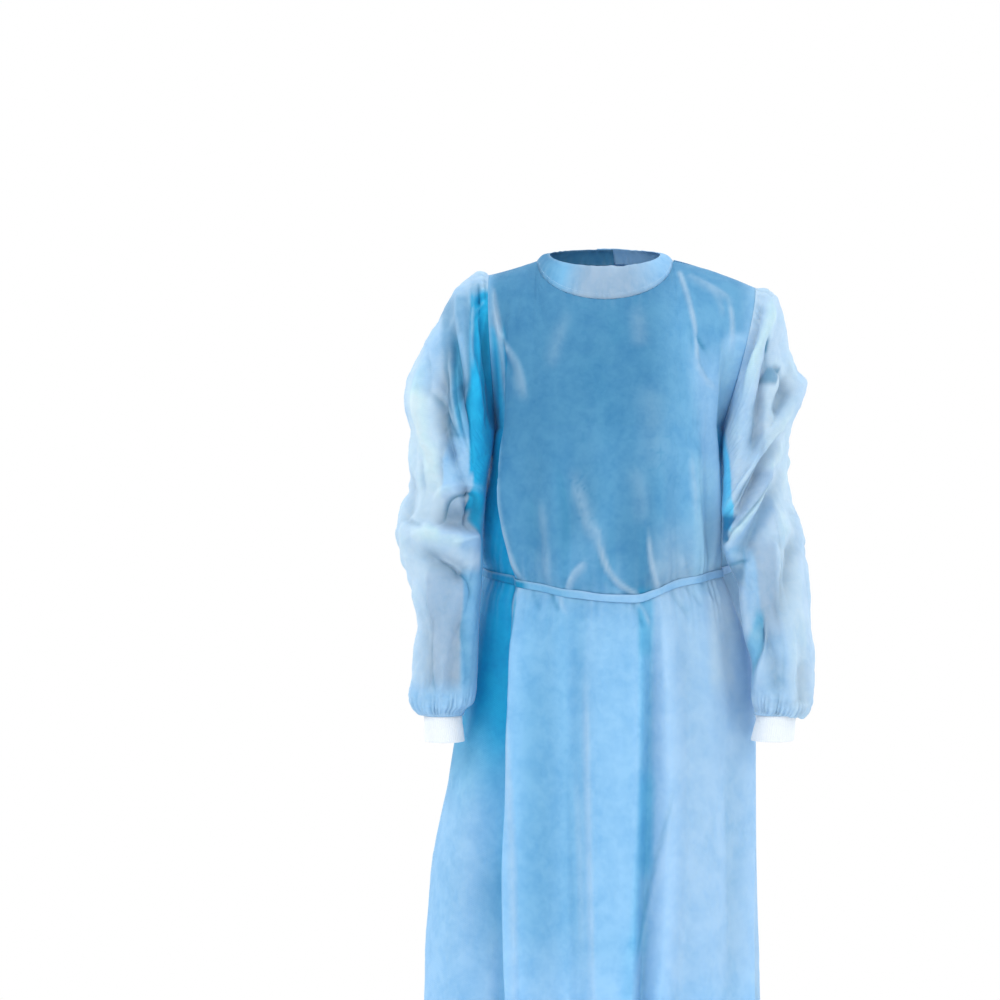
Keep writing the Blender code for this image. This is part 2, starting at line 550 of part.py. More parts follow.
def add_sheet(collection, name, points, closed, cloth, thickness):
    """A sheet of cloth through a grid of points, with its wall."""
    sheet = bpy.data.objects.new(name, grid_mesh(name, points, closed))
    sheet.data.materials.append(cloth)
    collection.objects.link(sheet)
    wall = sheet.modifiers.new("Wall", "SOLIDIFY")
    wall.thickness = thickness
    wall.offset = 0.0
    return sheet


def cloth_material(name, colour, roughness):
    """A matt dyed or bleached cloth."""
    made = bpy.data.materials.new(name)
    made.use_nodes = True
    shader = made.node_tree.nodes["Principled BSDF"]
    shader.inputs["Base Color"].default_value = (*colour, 1.0)
    shader.inputs["Roughness"].default_value = roughness
    shader.inputs["Metallic"].default_value = 0.0
    return made


def add_body(collection, cloth):
    """The front panel and the two back panels."""
    shoulders = 1 + (1 + np.arange(SHOULDER_ROWS)) / SHOULDER_ROWS
    levels = np.concatenate([level_of(np.array(TORSO_ROWS)), shoulders])
    rows = levels[:, None]
    front = body_sheet(body_columns(levels, "right seam", "left seam"), rows)
    add_sheet(collection, "front", drawn_back(front), False, cloth, CLOTH)
    reach = body_columns(levels, "left seam", "over edge")
    over = body_sheet(reach, rows, overlap_lift(reach))
    add_sheet(collection, "back_left", drawn_back(over), False, cloth, CLOTH)
    reach = body_columns(levels, "under edge", "right seam again")
    add_sheet(collection, "back_right", drawn_back(body_sheet(reach, rows)), False, cloth, CLOTH)


def add_sleeve(collection, cloth, side):
    """One sleeve, from its armhole to its gathered end."""
    front = np.arange(SLEEVE_FRONT_COLUMNS) * (math.pi / SLEEVE_FRONT_COLUMNS)
    back = math.pi + np.arange(SLEEVE_BACK_COLUMNS) * (math.pi / SLEEVE_BACK_COLUMNS)
    turn, down = np.concatenate([front, back])[None, :], np.array(SLEEVE_SHARES)[:, None]
    points = sleeve_sheet(side, turn, down)
    add_sheet(collection, f"sleeve_{side}", points[:, :: ARMHOLES[side].side], True, cloth, CLOTH)


def add_cuff(collection, knit, side):
    """One knitted cuff, part of it inside the sleeve's gathered end."""
    cuff = CUFFS[side]
    down = np.linspace(0.0, 1.0, CUFF_ROWS + 1)[:, None]
    turn = np.arange(CUFF_COLUMNS)[None, :] * (-2 * math.pi / CUFF_COLUMNS)
    half = cuff.top_half + (cuff.foot_half - cuff.top_half) * down
    ring = np.broadcast_arrays(
        cuff.top_x + (cuff.foot_x - cuff.top_x) * down + half * np.cos(turn),
        cuff.y + cuff.depth * np.sin(turn),
        cuff.top_z + (cuff.foot_z - cuff.top_z) * down,
    )
    add_sheet(collection, f"cuff_{side}", np.stack(ring, axis=-1), True, knit, KNIT)


def add_binding(collection, cloth):
    """The folded strip round the neck, whose left end lies over its right end at the nape."""
    turn = np.linspace(-math.pi - BINDING_OVERLAP, math.pi + BINDING_OVERLAP, BINDING_COLUMNS + 1)
    lift = BINDING_LIFT * smooth_step((turn - math.pi + 0.5) / 0.3)
    seam = binding_edge(turn, NECK_HALF_WIDTH, NECK_SIDE_Z, NECK_FRONT, NECK_BACK)
    inner = binding_edge(turn, BINDING_HALF_WIDTH, BINDING_SIDE_Z, BINDING_FRONT, BINDING_BACK)
    share = np.array(BINDING_SHARES)[:, None, None]
    points = seam + (inner - seam) * share
    points[..., 0] += np.sin(turn) * lift
    points[..., 1] -= np.cos(turn) * lift
    points[..., 2] += BINDING_SWELL * np.sin(math.pi * share[..., 0])
    room = HALF_SEAM + 2 * SEAM_GAP + CLOTH / 2 + 0.75 * overlap_lift(np.mod(turn, 2 * math.pi))
    points[0] = nearer(points[0], points[1], room[:, None])
    add_sheet(collection, "neck_binding", points, False, cloth, BAND_CLOTH)


def add_belt(collection, cloth):
    """The belt, a flat strip round the waist over all the panels."""
    levels = level_of(np.array([BELT_Z - BELT_WIDTH / 2, BELT_Z + BELT_WIDTH / 2]))
    turn = body_columns(levels, "right seam", "right seam again")[:, :-1]
    lift = (CLOTH + BAND_CLOTH) / 2 + BELT_GAP + overlap_lift(turn)
    add_sheet(collection, "belt", body_sheet(turn, levels[:, None], lift), True, cloth, BAND_CLOTH)


def back_point(x, z, lift):
    """A point over the middle of the back, lifted off the outer panel."""
    x, z = np.broadcast_arrays(np.asarray(x, float), np.asarray(z, float))
    half = np.where(x < 0, column_of(BODY_RINGS, "right", z), column_of(BODY_RINGS, "left", z))
    low = math.pi - np.arcsin(power(x / half, BODY_ROUNDNESS / 2))
    high = math.pi - x / NECK_HALF_WIDTH * NECK_SHARE * math.pi / 2
    rise = np.linspace(0.0, 1.0, 200)
    column = plain_body(math.pi, 1 + rise)[:, 2]
    level = np.where(z > UNDERARM_Z, 1 + np.interp(z, column, rise), level_of(z))
    angle = np.where(z > UNDERARM_Z, high + (low - high) * (2 - level), low)
    return body_sheet(angle, level, OVER + lift)


def add_tie(collection, cloth, tie):
    """One hanging end of a tie: a flat strip that follows the back below its knot."""
    down = np.linspace(0.0, 1.0, TIE_ROWS + 1)[:, None]
    across = np.array([-0.5, 0.5])[None, :] * TIE_WIDTH
    x = tie.top_x + (tie.foot_x - tie.top_x) * down + across
    points = back_point(x, tie.top_z + (tie.foot_z - tie.top_z) * down, TIE_LIFT)
    points[..., 1] = points[..., 1].max(axis=1, keepdims=True)
    add_sheet(collection, tie.name, points, False, cloth, BAND_CLOTH)


def add_knot(collection, cloth, knot):
    """A pulled-tight knot: a lump rounded from a box that is wider above."""
    place = back_point(0.0, knot.z, knot.lift + knot.depth / 2)
    bpy.ops.mesh.primitive_cube_add(size=1.0, location=tuple(place))
    lump = bpy.context.object
    lump.name = lump.data.name = knot.name
    for vertex in lump.data.vertices:
        vertex.co.x *= knot.width * (1.12 if vertex.co.z > 0 else 0.90)
        vertex.co.y *= knot.depth
        vertex.co.z *= knot.height
    rounded = lump.modifiers.new("Rounded", "SUBSURF")
    rounded.levels = rounded.render_levels = 2
    lump.data.shade_smooth()
    lump.data.materials.append(cloth)
    for other in lump.users_collection:
        other.objects.unlink(lump)
    collection.objects.link(lump)


def main():
    """Clears the scene and makes the gown."""
    for old in list(bpy.data.objects):
        bpy.data.objects.remove(old)
    collection = bpy.data.collections.new("Isolation gown")
    bpy.context.scene.collection.children.link(collection)
    cloth = cloth_material("Blue nonwoven", (0.27, 0.52, 0.80), 0.72)
    knit = cloth_material("White knit", (0.86, 0.88, 0.90), 0.85)

    add_body(collection, cloth)
    for side in SLEEVES:
        add_sleeve(collection, cloth, side)
        add_cuff(collection, knit, side)
    add_binding(collection, cloth)
    add_belt(collection, cloth)
    for tie in TIES:
        add_tie(collection, cloth, tie)
    for knot in KNOTS:
        add_knot(collection, cloth, knot)


main()
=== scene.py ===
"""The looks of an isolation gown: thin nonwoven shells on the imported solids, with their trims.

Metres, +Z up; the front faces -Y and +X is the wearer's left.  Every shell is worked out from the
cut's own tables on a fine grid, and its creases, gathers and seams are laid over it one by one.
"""

import logging
import math
from dataclasses import dataclass
from enum import Enum
from typing import Any, Callable, NamedTuple, Optional, Sequence, Union

import bpy
import numpy as np
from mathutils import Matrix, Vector


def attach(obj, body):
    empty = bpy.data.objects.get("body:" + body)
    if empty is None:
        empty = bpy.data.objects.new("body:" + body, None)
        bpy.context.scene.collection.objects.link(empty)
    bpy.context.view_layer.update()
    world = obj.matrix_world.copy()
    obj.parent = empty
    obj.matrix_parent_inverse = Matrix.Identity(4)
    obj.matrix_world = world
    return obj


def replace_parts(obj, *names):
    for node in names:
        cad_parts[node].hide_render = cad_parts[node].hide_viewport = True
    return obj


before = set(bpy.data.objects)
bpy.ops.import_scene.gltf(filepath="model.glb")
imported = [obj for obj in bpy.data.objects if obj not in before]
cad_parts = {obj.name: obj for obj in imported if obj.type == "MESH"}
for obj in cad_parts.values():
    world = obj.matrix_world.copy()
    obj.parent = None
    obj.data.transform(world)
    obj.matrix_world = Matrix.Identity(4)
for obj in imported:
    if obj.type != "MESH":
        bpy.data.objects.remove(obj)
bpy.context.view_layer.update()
ROOT = "root"
LOG = logging.getLogger("gown")

Array = np.ndarray
Material = bpy.types.Material
Piece = bpy.types.Object

FINE = 1e-4  # step of the slopes that give a sheet's outward direction
NUDGE = 1e-6  # keeps a panel's end columns on its own side of the side seam
MM = 0.001
TURN = 2 * math.pi
UP = np.array([0.0, 0.0, 1.0])
BACKWARDS = np.array([0.0, 1.0, 0.0])


class Tone(Enum):
    """The cloth's colours, with light and shade painted in, from the thinnest and best lit to the
    most shaded fold (linear RGB).
    """

    WHITE = (0.740, 0.905, 0.990)
    PALE = (0.660, 0.840, 0.970)
    ICE = (0.500, 0.830, 1.000)
    SKY = (0.370, 0.660, 0.930)
    MID = (0.185, 0.470, 0.740)
    SLATE = (0.066, 0.250, 0.440)
    AQUA = (0.090, 0.620, 0.950)
    CYAN = (0.012, 0.405, 0.705)
    TEAL = (0.006, 0.260, 0.480)
    DEEP = (0.001, 0.150, 0.340)
    GREY = (0.400, 0.540, 0.690)

    @property
    def rgb(self) -> Array:
        """Its three numbers."""
        return np.array(self.value)

    def over(self, points: Array) -> Array:
        """The tone at each of a grid's points."""
        return np.broadcast_to(self.rgb, points.shape)


# ------ Curves and fields ------
def mix(start: Any, end: Any, share: Any) -> Any:
    """From one value, at share 0, evenly to another one, at share 1."""
    return start + (end - start) * share


def ease(value: Array, start: Any = 0.0, end: Any = 1.0) -> Array:
    """0 at the start, 1 at the end and an even S between them, whichever of the two is larger."""
    t = np.clip((value - start) / (end - start), 0.0, 1.0)
    return t * t * (3 - 2 * t)


def bump(offset: Array, width: Union[float, Array]) -> Array:
    """A soft bell: 1 in the middle, falling away over a width."""
    return np.exp(-((offset / width) ** 2))


def power(value: Array, exponent: float) -> Array:
    """A power that keeps its base's sign."""
    return np.sign(value) * np.abs(value) ** exponent


def unit(vectors: Array) -> Array:
    """Vectors brought to length 1."""
    return vectors / np.maximum(np.linalg.norm(vectors, axis=-1, keepdims=True), 1e-12)


def added_up(steps: Array) -> Array:
    """The way travelled, from 0, after each of some steps."""
    return np.concatenate([[0.0], np.cumsum(steps)])


def lengths_of(path: Array) -> Array:
    """How far along a path each of its points lies."""
    return added_up(np.linalg.norm(np.diff(path, axis=0), axis=-1))


def read_at(at: Array, known: Sequence[float], rows: Sequence[Array]) -> Array:
    """Rows of three numbers between known ones, each number interpolated evenly."""
    return np.stack([np.interp(at, known, column) for column in np.transpose(rows)], axis=-1)


def curve(known: Sequence[float], values: Sequence[float], at: Array) -> Array:
    """A smooth curve through known values: cubic between two of them, held beyond the ends.

    Args:
        known: The places of the known values, rising.
        values: The known values.
        at: Where the curve is wanted.

    Returns:
        The curve's values there.
    """
    known, values = np.asarray(known, float), np.asarray(values, float)
    slopes = np.gradient(values, known)
    cell = np.clip(np.searchsorted(known, at) - 1, 0, len(known) - 2)
    width = known[cell + 1] - known[cell]
    t = np.clip((at - known[cell]) / width, 0.0, 1.0)
    return (
        values[cell] * (1 + 2 * t) * (1 - t) ** 2
        + slopes[cell] * width * t * (1 - t) ** 2
        + values[cell + 1] * t**2 * (3 - 2 * t)
        - slopes[cell + 1] * width * t**2 * (1 - t)
    )


def column_of(rows: Sequence[NamedTuple], name: str, at: Array) -> Array:
    """A table's named column, as a curve over the table's first one."""
    return curve([row[0] for row in rows], [getattr(row, name) for row in rows], at)


def row_at(rows: Sequence[Any], at: Array) -> Any:
    """A table's row between its own ones, with a curve for each column after the first."""
    kind = type(rows[0])
    return kind(at, *(column_of(rows, name, at) for name in kind._fields[1:]))


class Wave(NamedTuple):
    """Uneven gathers: their height and mean pitch, and a phase that makes them unlike others."""

    height: float
    pitch: float
    start: float

    def along(self, place: Array) -> Array:
        """The gathers' heights: a sine whose phase and swell wander.

        Args:
            place: Places along the gathers, in metres.

        Returns:
            Heights there.
        """
        turn, start = TURN * place / self.pitch, self.start
        wander = 1.3 * np.sin(0.31 * turn + start) + 0.8 * np.sin(0.17 * turn + 2.1 * start)
        swell = 0.68 + 0.32 * np.sin(0.23 * turn + 1.7 * start)
        return self.height * swell * np.sin(turn + wander + start)


def crumple(u: Array, v: Array, size: float, start: float = 0.0) -> Array:
    """Paper-like facets: how much nearer a point lies to its own cell's centre than to the next.

    The cells are squares of one size whose centres are scattered by a sine hash, so the value is 0
    on the creases between two cells and rises evenly to about 1 at their middles.

    Args:
        u: Places across the cloth, in metres.
        v: Places along it, in metres.
        size: The facets' size, in metres.
        start: A number that gives other facets.

    Returns:
        Heights from 0 to about 1.
    """
    a, b = u / size + start, v / size - start
    column, row = np.floor(a), np.floor(b)
    nearest, second = np.full_like(a, 9.0), np.full_like(a, 9.0)
    for step in np.ndindex(3, 3):
        i, j = column + step[0] - 1, row + step[1] - 1
        wave = np.sin(i * 127.1 + j * 311.7) * 43758.5453
        other = np.sin(i * 269.5 + j * 183.3) * 24634.6345
        away = np.hypot(i + wave - np.floor(wave) - a, j + other - np.floor(other) - b)
        second = np.minimum(second, np.maximum(nearest, away))
        nearest = np.minimum(nearest, away)
    return second - nearest


def outward(along_a: Array, along_b: Array) -> Array:
    """Unit directions square to a sheet, from how it runs along its two parameters."""
    return unit(np.cross(along_a, along_b))


def slopes_of(sheet: Callable, a: Array, b: Array, b_high: float) -> tuple[Array, Array]:
    """How fast a sheet's points move with each of its two parameters.

    Args:
        sheet: The function that gives its points.
        a: The parameter round it.
        b: The parameter along it, from 0.
        b_high: Where b ends.

    Returns:
        The change of the points for each unit of a, and of b.
    """
    along_a = (sheet(a + FINE, b) - sheet(a - FINE, b)) / (2 * FINE)
    above, below = np.minimum(b + FINE, b_high), np.maximum(b - FINE, 0.0)
    return along_a, (sheet(a, above) - sheet(a, below)) / (above - below)[..., None]


# ------ Folds, and patches of painted light and shade, laid on what shows from the front or from behind ------
class Fold(NamedTuple):
    """One crease in the front view: a bent line through three points, in millimetres.

    It stands out by depth, or sinks where that is below 0, with one width on the left of its
    course and another on its right.  Start and end say how much of it is left at its two ends.
    Its last number paints shade along it where above 0, towards the deep tone, and a highlight
    where below 0, towards the pale one.
    """

    x1: float
    z1: float
    x2: float
    z2: float
    x3: float
    z3: float
    depth: float
    left: float
    right: float
    start: float
    end: float
    painted_light: float

    @property
    def points(self) -> Array:
        """The three points of its course."""
        return np.array(self[:6], float).reshape(3, 2)


class Patch(NamedTuple):
    """A soft-edged area of the front view, in millimetres, that is mixed towards another tone,
    mostly to paint light and shade into the cloth.
    """

    x: float
    z: float
    half_x: float
    half_z: float
    lean: float
    soft: float
    tone: Tone
    amount: float


SEGMENTS = 10  # straight pieces that a fold's bent line is measured along
BELL_REACH = 3  # widths beyond which a fold's bell is nothing
BEND_REACH = np.array([8.0, 0.0])  # millimetres in x and z that a bend may pass its points by
END_REACH = 0.3  # share of a fold's course over which an end fades
TIP_REACH = 0.07  # the same for the rounding of an end that is kept whole
PAINTED_LIGHT_SPREAD = 1.15  # width of the shade and highlight painted along a fold, against the fold's own


def along_fold(fold: Fold, x: Array, z: Array) -> tuple[Array, Array, Array]:
    """Where points lie against a fold's line, a parabola through its three points.

    Args:
        fold: The fold.
        x: Places across, in millimetres.
        z: Heights, in millimetres.

    Returns:
        The share of the line's course, the distance from it, and which side of it (-1 left).
    """
    first, middle, last = fold.points
    bend = 2 * middle - (first + last) / 2
    t = np.linspace(0.0, 1.0, SEGMENTS + 1)[:, None]
    line = first * (1 - t) ** 2 + 2 * bend * t * (1 - t) + last * t**2
    share, nearest, side = np.zeros_like(x), np.full_like(x, 1e9), np.ones_like(x)
    for step, (low, high) in enumerate(zip(line, line[1:])):
        run = high - low
        part = np.clip(((x - low[0]) * run[0] + (z - low[1]) * run[1]) / (run @ run), 0.0, 1.0)
        off_x, off_z = x - low[0] - part * run[0], z - low[1] - part * run[1]
        away = np.hypot(off_x, off_z)
        closer = away < nearest
        nearest = np.where(closer, away, nearest)
        share = np.where(closer, (step + part) / SEGMENTS, share)
        side = np.where(closer, np.sign(run[1] * off_x - run[0] * off_z + 1e-9), side)
    return share, nearest, side


def lay_folds(
    folds: Sequence[Fold], x: Array, z: Array, least: float = 0.0
) -> tuple[Array, Array]:
    """The relief of a table of folds, and the shade and highlights painted along them.

    Each adds depth * fade * exp(-(distance / width)^2), where fade eases to its start and end.

    Args:
        folds: The table.
        x: Places across, in metres.
        z: Heights, in metres.
        least: The least width that the sheet's grid can show, in millimetres.

    Returns:
        How far the cloth stands out, in metres, and its painted shade (above 0) and highlights
        (below 0).
    """
    relief, painted_light = np.zeros_like(x), np.zeros_like(x)
    x, z = x / MM, z / MM
    for fold in folds:
        reach = BELL_REACH * max(fold.left, fold.right) + BEND_REACH
        low, high = fold.points.min(axis=0) - reach, fold.points.max(axis=0) + reach
        near = (x > low[0]) & (x < high[0]) & (z > low[1]) & (z < high[1])
        if not near.any():
            continue
        share, away, side = along_fold(fold, x[near], z[near])
        width = np.maximum(np.where(side < 0, fold.left, fold.right), least)
        fade = np.ones_like(share)
        for kept, off in ((fold.start, share), (fold.end, 1 - share)):
            fade = fade * mix(kept, 1.0, ease(off, 0.0, END_REACH))
            if kept == 1:
                fade = fade * mix(0.5, 1.0, ease(off, 0.0, TIP_REACH))
        relief[near] += fold.depth * MM * fade * bump(away, width)
        painted_light[near] += fold.painted_light * fade * bump(away, width * PAINTED_LIGHT_SPREAD)
    return relief, painted_light


def lay_patches(colour: Array, patches: Sequence[Patch], x: Array, z: Array) -> Array:
    """Colours mixed towards the tones of a table of patches, one after another.

    Args:
        colour: The colours before.
        patches: The table.
        x: Places across, in metres.
        z: Heights, in metres.

    Returns:
        The colours after.
    """
    x, z = x / MM, z / MM
    for patch in patches:
        off_z = z - patch.z
        inside = patch.amount
        for off, half, soft in (
            (x - patch.x - patch.lean * off_z, patch.half_x, patch.soft / 2),
            (off_z, patch.half_z, patch.soft * 3 / 2),
        ):
            inside = inside * ease(np.abs(off), half + soft, half - soft)
        colour = mix(colour, patch.tone.rgb, inside[..., None])
    return colour


def with_painted_light(colour: Array, painted_light: Array) -> Array:
    """Colours with painted shade, towards the deep tone, where the amount is above 0, and painted
    highlights, towards the pale tone, where it is below.
    """
    colour = mix(colour, Tone.TEAL.rgb * 0.8, np.clip(painted_light, 0.0, 1.0)[..., None])
    return mix(colour, Tone.PALE.rgb, np.clip(-painted_light, 0.0, 1.0)[..., None])


# ------ Shaders ------
@dataclass(frozen=True)
class Value:
    """A number in a node tree, on which Python's operators add Math nodes."""

    tree: "ShaderTree"
    socket: Any

    def __add__(self, other: "Operand") -> "Value":
        """The sum."""
        return self.apply("ADD", other)

    def __sub__(self, other: "Operand") -> "Value":
        """The difference."""
        return self.apply("SUBTRACT", other)

    def __rsub__(self, other: "Operand") -> "Value":
        """The difference, with the number first."""
        return self.tree.math("SUBTRACT", other, self)

    def __mul__(self, other: "Operand") -> "Value":
        """The product."""
        return self.apply("MULTIPLY", other)

    def __truediv__(self, other: "Operand") -> "Value":
        """The quotient."""
        return self.apply("DIVIDE", other)

    __radd__ = __add__
    __rmul__ = __mul__

    def apply(self, operation: str, other: "Operand" = 0.0) -> "Value":
        """A Math operation on it, such as SINE, FRACT or ABSOLUTE."""
        return self.tree.math(operation, self, other)

    def between(self, low: float, high: float) -> "Value":
        """An even S between two numbers, whichever of them is larger.

        Args:
            low: Where it is 0.
            high: Where it is 1.

        Returns:
            The S at this number.
        """
        settings = {"interpolation_type": "SMOOTHSTEP"}
        inputs = {"Value": self, "From Min": low, "From Max": high}
        return self.tree.node("ShaderNodeMapRange", settings, inputs).value("Result")


Operand = Union[Value, float]


@dataclass(frozen=True)
class Node:
    """A node in a tree."""

    tree: "ShaderTree"
    made: Any

    def value(self, name: Union[str, int] = 0) -> Value:
        """One of its outputs."""
        return Value(self.tree, self.made.outputs[name])


class ShaderTree:
    """A material's nodes, ending in its output."""

    def __init__(self, name: str) -> None:
        """Makes an empty material.

        Args:
            name: The material's name.
        """
        self.material = bpy.data.materials.new(name)
        self.material.use_nodes = True
        self.nodes = self.material.node_tree.nodes
        self.nodes.clear()

    def node(
        self, kind: str, settings: Optional[dict] = None, inputs: Optional[dict] = None
    ) -> Node:
        """Adds a node.

        Args:
            kind: Blender's name of the node's type.
            settings: Its properties, set first.
            inputs: Values or links of its sockets, by name or number.

        Returns:
            The node.
        """
        made = self.nodes.new(kind)
        for name, setting in (settings or {}).items():
            setattr(made, name, setting)
        for name, given in (inputs or {}).items():
            if isinstance(given, Value):
                self.material.node_tree.links.new(given.socket, made.inputs[name])
            else:
                made.inputs[name].default_value = given
        return Node(self, made)

    def math(self, operation: str, first: Operand, second: Operand) -> Value:
        """A Math node on two numbers."""
        return self.node("ShaderNodeMath", {"operation": operation}, {0: first, 1: second}).value()

    def place(self) -> Value:
        """A point's place on its piece."""
        return self.node("ShaderNodeTexCoord").value("Object")

    def cut(self) -> Value:
        """A point's place on the flat cloth."""
        return self.node("ShaderNodeUVMap", {"uv_map": "cloth"}).value()

    def scaled(self, place: Value, scale: tuple, turn: float = 0.0) -> Value:
        """A place scaled along its axes and turned about Z."""
        inputs = {"Vector": place, "Rotation": (0.0, 0.0, turn), "Scale": scale}
        return self.node("ShaderNodeMapping", {}, inputs).value()

    def noise(self, place: Value, scale: float, detail: float, distortion: float = 0.0) -> Value:
        """Noise from 0 to 1 on a place."""
        inputs = {"Vector": place, "Scale": scale, "Detail": detail, "Distortion": distortion}
        return self.node("ShaderNodeTexNoise", {}, inputs).value()

    def multiplied(self, colour: Union[Value, tuple], factor: Value, by: tuple) -> Value:
        """A colour multiplied by another one.

        Args:
            colour: The colour.
            factor: How much of the product is taken, from 0 to 1.
            by: The other colour.

        Returns:
            The mixed colour.
        """
        settings = {"data_type": "RGBA", "blend_type": "MULTIPLY"}
        given = colour if isinstance(colour, Value) else (*colour, 1.0)
        return self.node("ShaderNodeMix", settings, {0: factor, 6: given, 7: (*by, 1.0)}).value(2)

    def relief(self, height: Value, strength: float, depth: float) -> Value:
        """The direction of a surface with a fine relief."""
        inputs = {"Strength": strength, "Distance": depth, "Height": height}
        return self.node("ShaderNodeBump", {}, inputs).value()

    def surface(self, inputs: dict) -> Value:
        """A surface of a colour, a roughness and so on, by the names of the shader's sockets."""
        return self.node("ShaderNodeBsdfPrincipled", {}, inputs).value()

    def finish(self, shader: Value) -> Material:
        """Links the last shader to the material's output, and gives the material."""
        self.node("ShaderNodeOutputMaterial", {}, {"Surface": shader})
        return self.material


@dataclass(frozen=True)
class NonwovenFinish:
    """Spunbonded nonwoven: cloudy fibres pressed together by a grid of small bonds."""

    name: str = "Blue nonwoven"
    roughness: float = 0.62
    sheen: float = 0.06
    through: float = 0.36  # share of the light that the palest cloth lets through
    glow: tuple = (0.42, 0.70, 0.92)  # colour of that light
    bond_pitch: float = 0.0017
    bond_rim: tuple = (0.34, 0.22)  # a bond's outer and inner radius, in pitches
    bond_colour: tuple = (0.72, 0.86, 0.94)
    fibre_colour: tuple = (0.58, 0.77, 0.88)
    cloudy: float = 1.35  # how uneven the fibres lie

    def build(self) -> Material:
        """Makes the material; its colour is the piece's tone, with the light and shade painted into
        it, deeper where fibres are dense.

        Returns:
            The material.
        """
        tree = ShaderTree(self.name)
        place = tree.place()
        tone = tree.node("ShaderNodeAttribute", {"attribute_name": "tone"}).value("Color")
        broad = tree.noise(place, 34.0, 4.0, 0.4)
        cloud = tree.noise(place, 120.0, 4.0, 0.6)
        fibre = tree.noise(tree.scaled(place, (1.0, 1.0, 0.35)), 900.0, 2.0, 2.5)
        density = (broad - 0.5) * 1.5 + (cloud - 0.5) + (fibre - 0.5) * 0.5
        grid = {"voronoi_dimensions": "2D", "feature": "F1"}
        turned = tree.scaled(tree.cut(), (1 / self.bond_pitch,) * 3, math.pi / 4)
        dots = {"Vector": turned, "Scale": 1.0, "Randomness": 0.0}
        bond = tree.node("ShaderNodeTexVoronoi", grid, dots).value("Distance")
        bond = bond.between(*self.bond_rim)
        red = tree.node("ShaderNodeSeparateColor", {}, {0: tone}).value("Red")
        dense = (density * self.cloudy + 0.35) * (1 - red * 0.75)
        dense = dense.apply("MINIMUM", 1.0).apply("MAXIMUM", 0.0)
        colour = tree.multiplied(tone, dense, self.fibre_colour)
        face = tree.surface({
            "Base Color": tree.multiplied(colour, bond * 0.35, self.bond_colour),
            "Roughness": self.roughness - bond * 0.15 + (fibre - 0.5) * 0.1,
            "Specular IOR Level": 0.18,
            "Sheen Weight": self.sheen,
            "Normal": tree.relief(fibre * 0.6 + cloud * 0.5 - bond * 0.7, 0.35, 0.0004),
        })
        back = tree.node("ShaderNodeBsdfTranslucent", {}, {"Color": (*self.glow, 1.0)}).value()
        thin = (red * 1.9).apply("MINIMUM", 1.0) * self.through
        both = tree.node("ShaderNodeMixShader", {}, {0: thin, 1: face, 2: back})
        return tree.finish(both.value())


@dataclass(frozen=True)
class KnitFinish:
    """White rib knit: columns of small V stitches along the ribs."""

    name: str = "White knit"
    colour: tuple = (0.86, 0.90, 0.94)
    # painted shade in the gaps between the yarns
    groove_shade: tuple = (0.70, 0.80, 0.90)
    wale: float = 0.0014  # width of one column of stitches
    course: float = 0.0011  # height of one stitch

    def build(self) -> Material:
        """Makes the material; a stitch is a V of two slanted yarns.

        Returns:
            The material.
        """
        tree = ShaderTree(self.name)
        parts = tree.node("ShaderNodeSeparateXYZ", {}, {0: tree.cut()})
        across = (parts.value(0) / self.wale).apply("FRACT")
        slant = (across - 0.5).apply("ABSOLUTE")
        along = (parts.value(1) / self.course + slant * 1.1).apply("FRACT")
        ridge = (across * math.pi).apply("SINE").apply("POWER", 0.6)
        yarn = (along * math.pi).apply("SINE") * ridge
        fluff, soil = tree.noise(tree.place(), 1500.0, 3.0), tree.noise(tree.place(), 60.0, 3.0)
        # painted shade between the yarns, and uneven soil
        shade = ((1 - yarn) * 0.45 + (soil - 0.5) * 0.4).apply("MAXIMUM", 0.0)
        return tree.finish(tree.surface({
            "Base Color": tree.multiplied(self.colour, shade, self.groove_shade),
            "Roughness": 0.88 - yarn * 0.06,
            "Specular IOR Level": 0.25,
            "Sheen Weight": 0.35,
            "Normal": tree.relief(yarn + fluff * 0.4, 0.6, 0.0004),
        }))


@dataclass(frozen=True)
class ThreadFinish:
    """Polyester sewing thread of two plies."""

    name: str = "Pale thread"
    colour: tuple = (0.62, 0.80, 0.94)
    # painted shade in the grooves between the plies
    groove_shade: tuple = (0.72, 0.84, 0.93)

    def build(self) -> Material:
        """Makes the material; its plies are slanted bands along the thread.

        Returns:
            The material.
        """
        tree = ShaderTree(self.name)
        ply = tree.noise(tree.scaled(tree.place(), (1.0, 1.0, 2.0)), 2400.0, 2.0)
        return tree.finish(tree.surface({
            "Base Color": tree.multiplied(self.colour, ply, self.groove_shade),
            "Roughness": 0.55 + ply * 0.1,
            "Specular IOR Level": 0.4,
            "Sheen Weight": 0.2,
            "Normal": tree.relief(ply, 0.5, 0.0002),
        }))


@dataclass(frozen=True)
class FloorFinish:
    """Plain pale floor paint."""

    name: str = "Pale floor"
    colour: tuple = (0.90, 0.91, 0.92)

    def build(self) -> Material:
        """Makes the material, a little uneven in its gloss.

        Returns:
            The material.
        """
        tree = ShaderTree(self.name)
        worn = tree.noise(tree.place(), 3.0, 4.0)
        inputs = {"Base Color": (*self.colour, 1.0), "Roughness": 0.6 + worn * 0.15}
        return tree.finish(tree.surface(inputs))


# ------ Meshes ------
def placed(name: str, data: Any) -> Piece:
    """A new object in the scene.

    Args:
        name: Its name.
        data: Its mesh, light or camera.

    Returns:
        The object.
    """
    made = bpy.data.objects.new(name, data)
    bpy.context.scene.collection.objects.link(made)
    return made


def meshed(name: str, points: Array, faces: list, material: Material) -> Piece:
    """A new mesh object.

    Args:
        name: Its name.
        points: Its points, in a grid of any form.
        faces: The numbers of each face's corners.
        material: Its finish.

    Returns:
        The object.
    """
    mesh = bpy.data.meshes.new(name)
    mesh.from_pydata(points.reshape(-1, 3).tolist(), [], faces)
    mesh.materials.append(material)
    return placed(name, mesh)


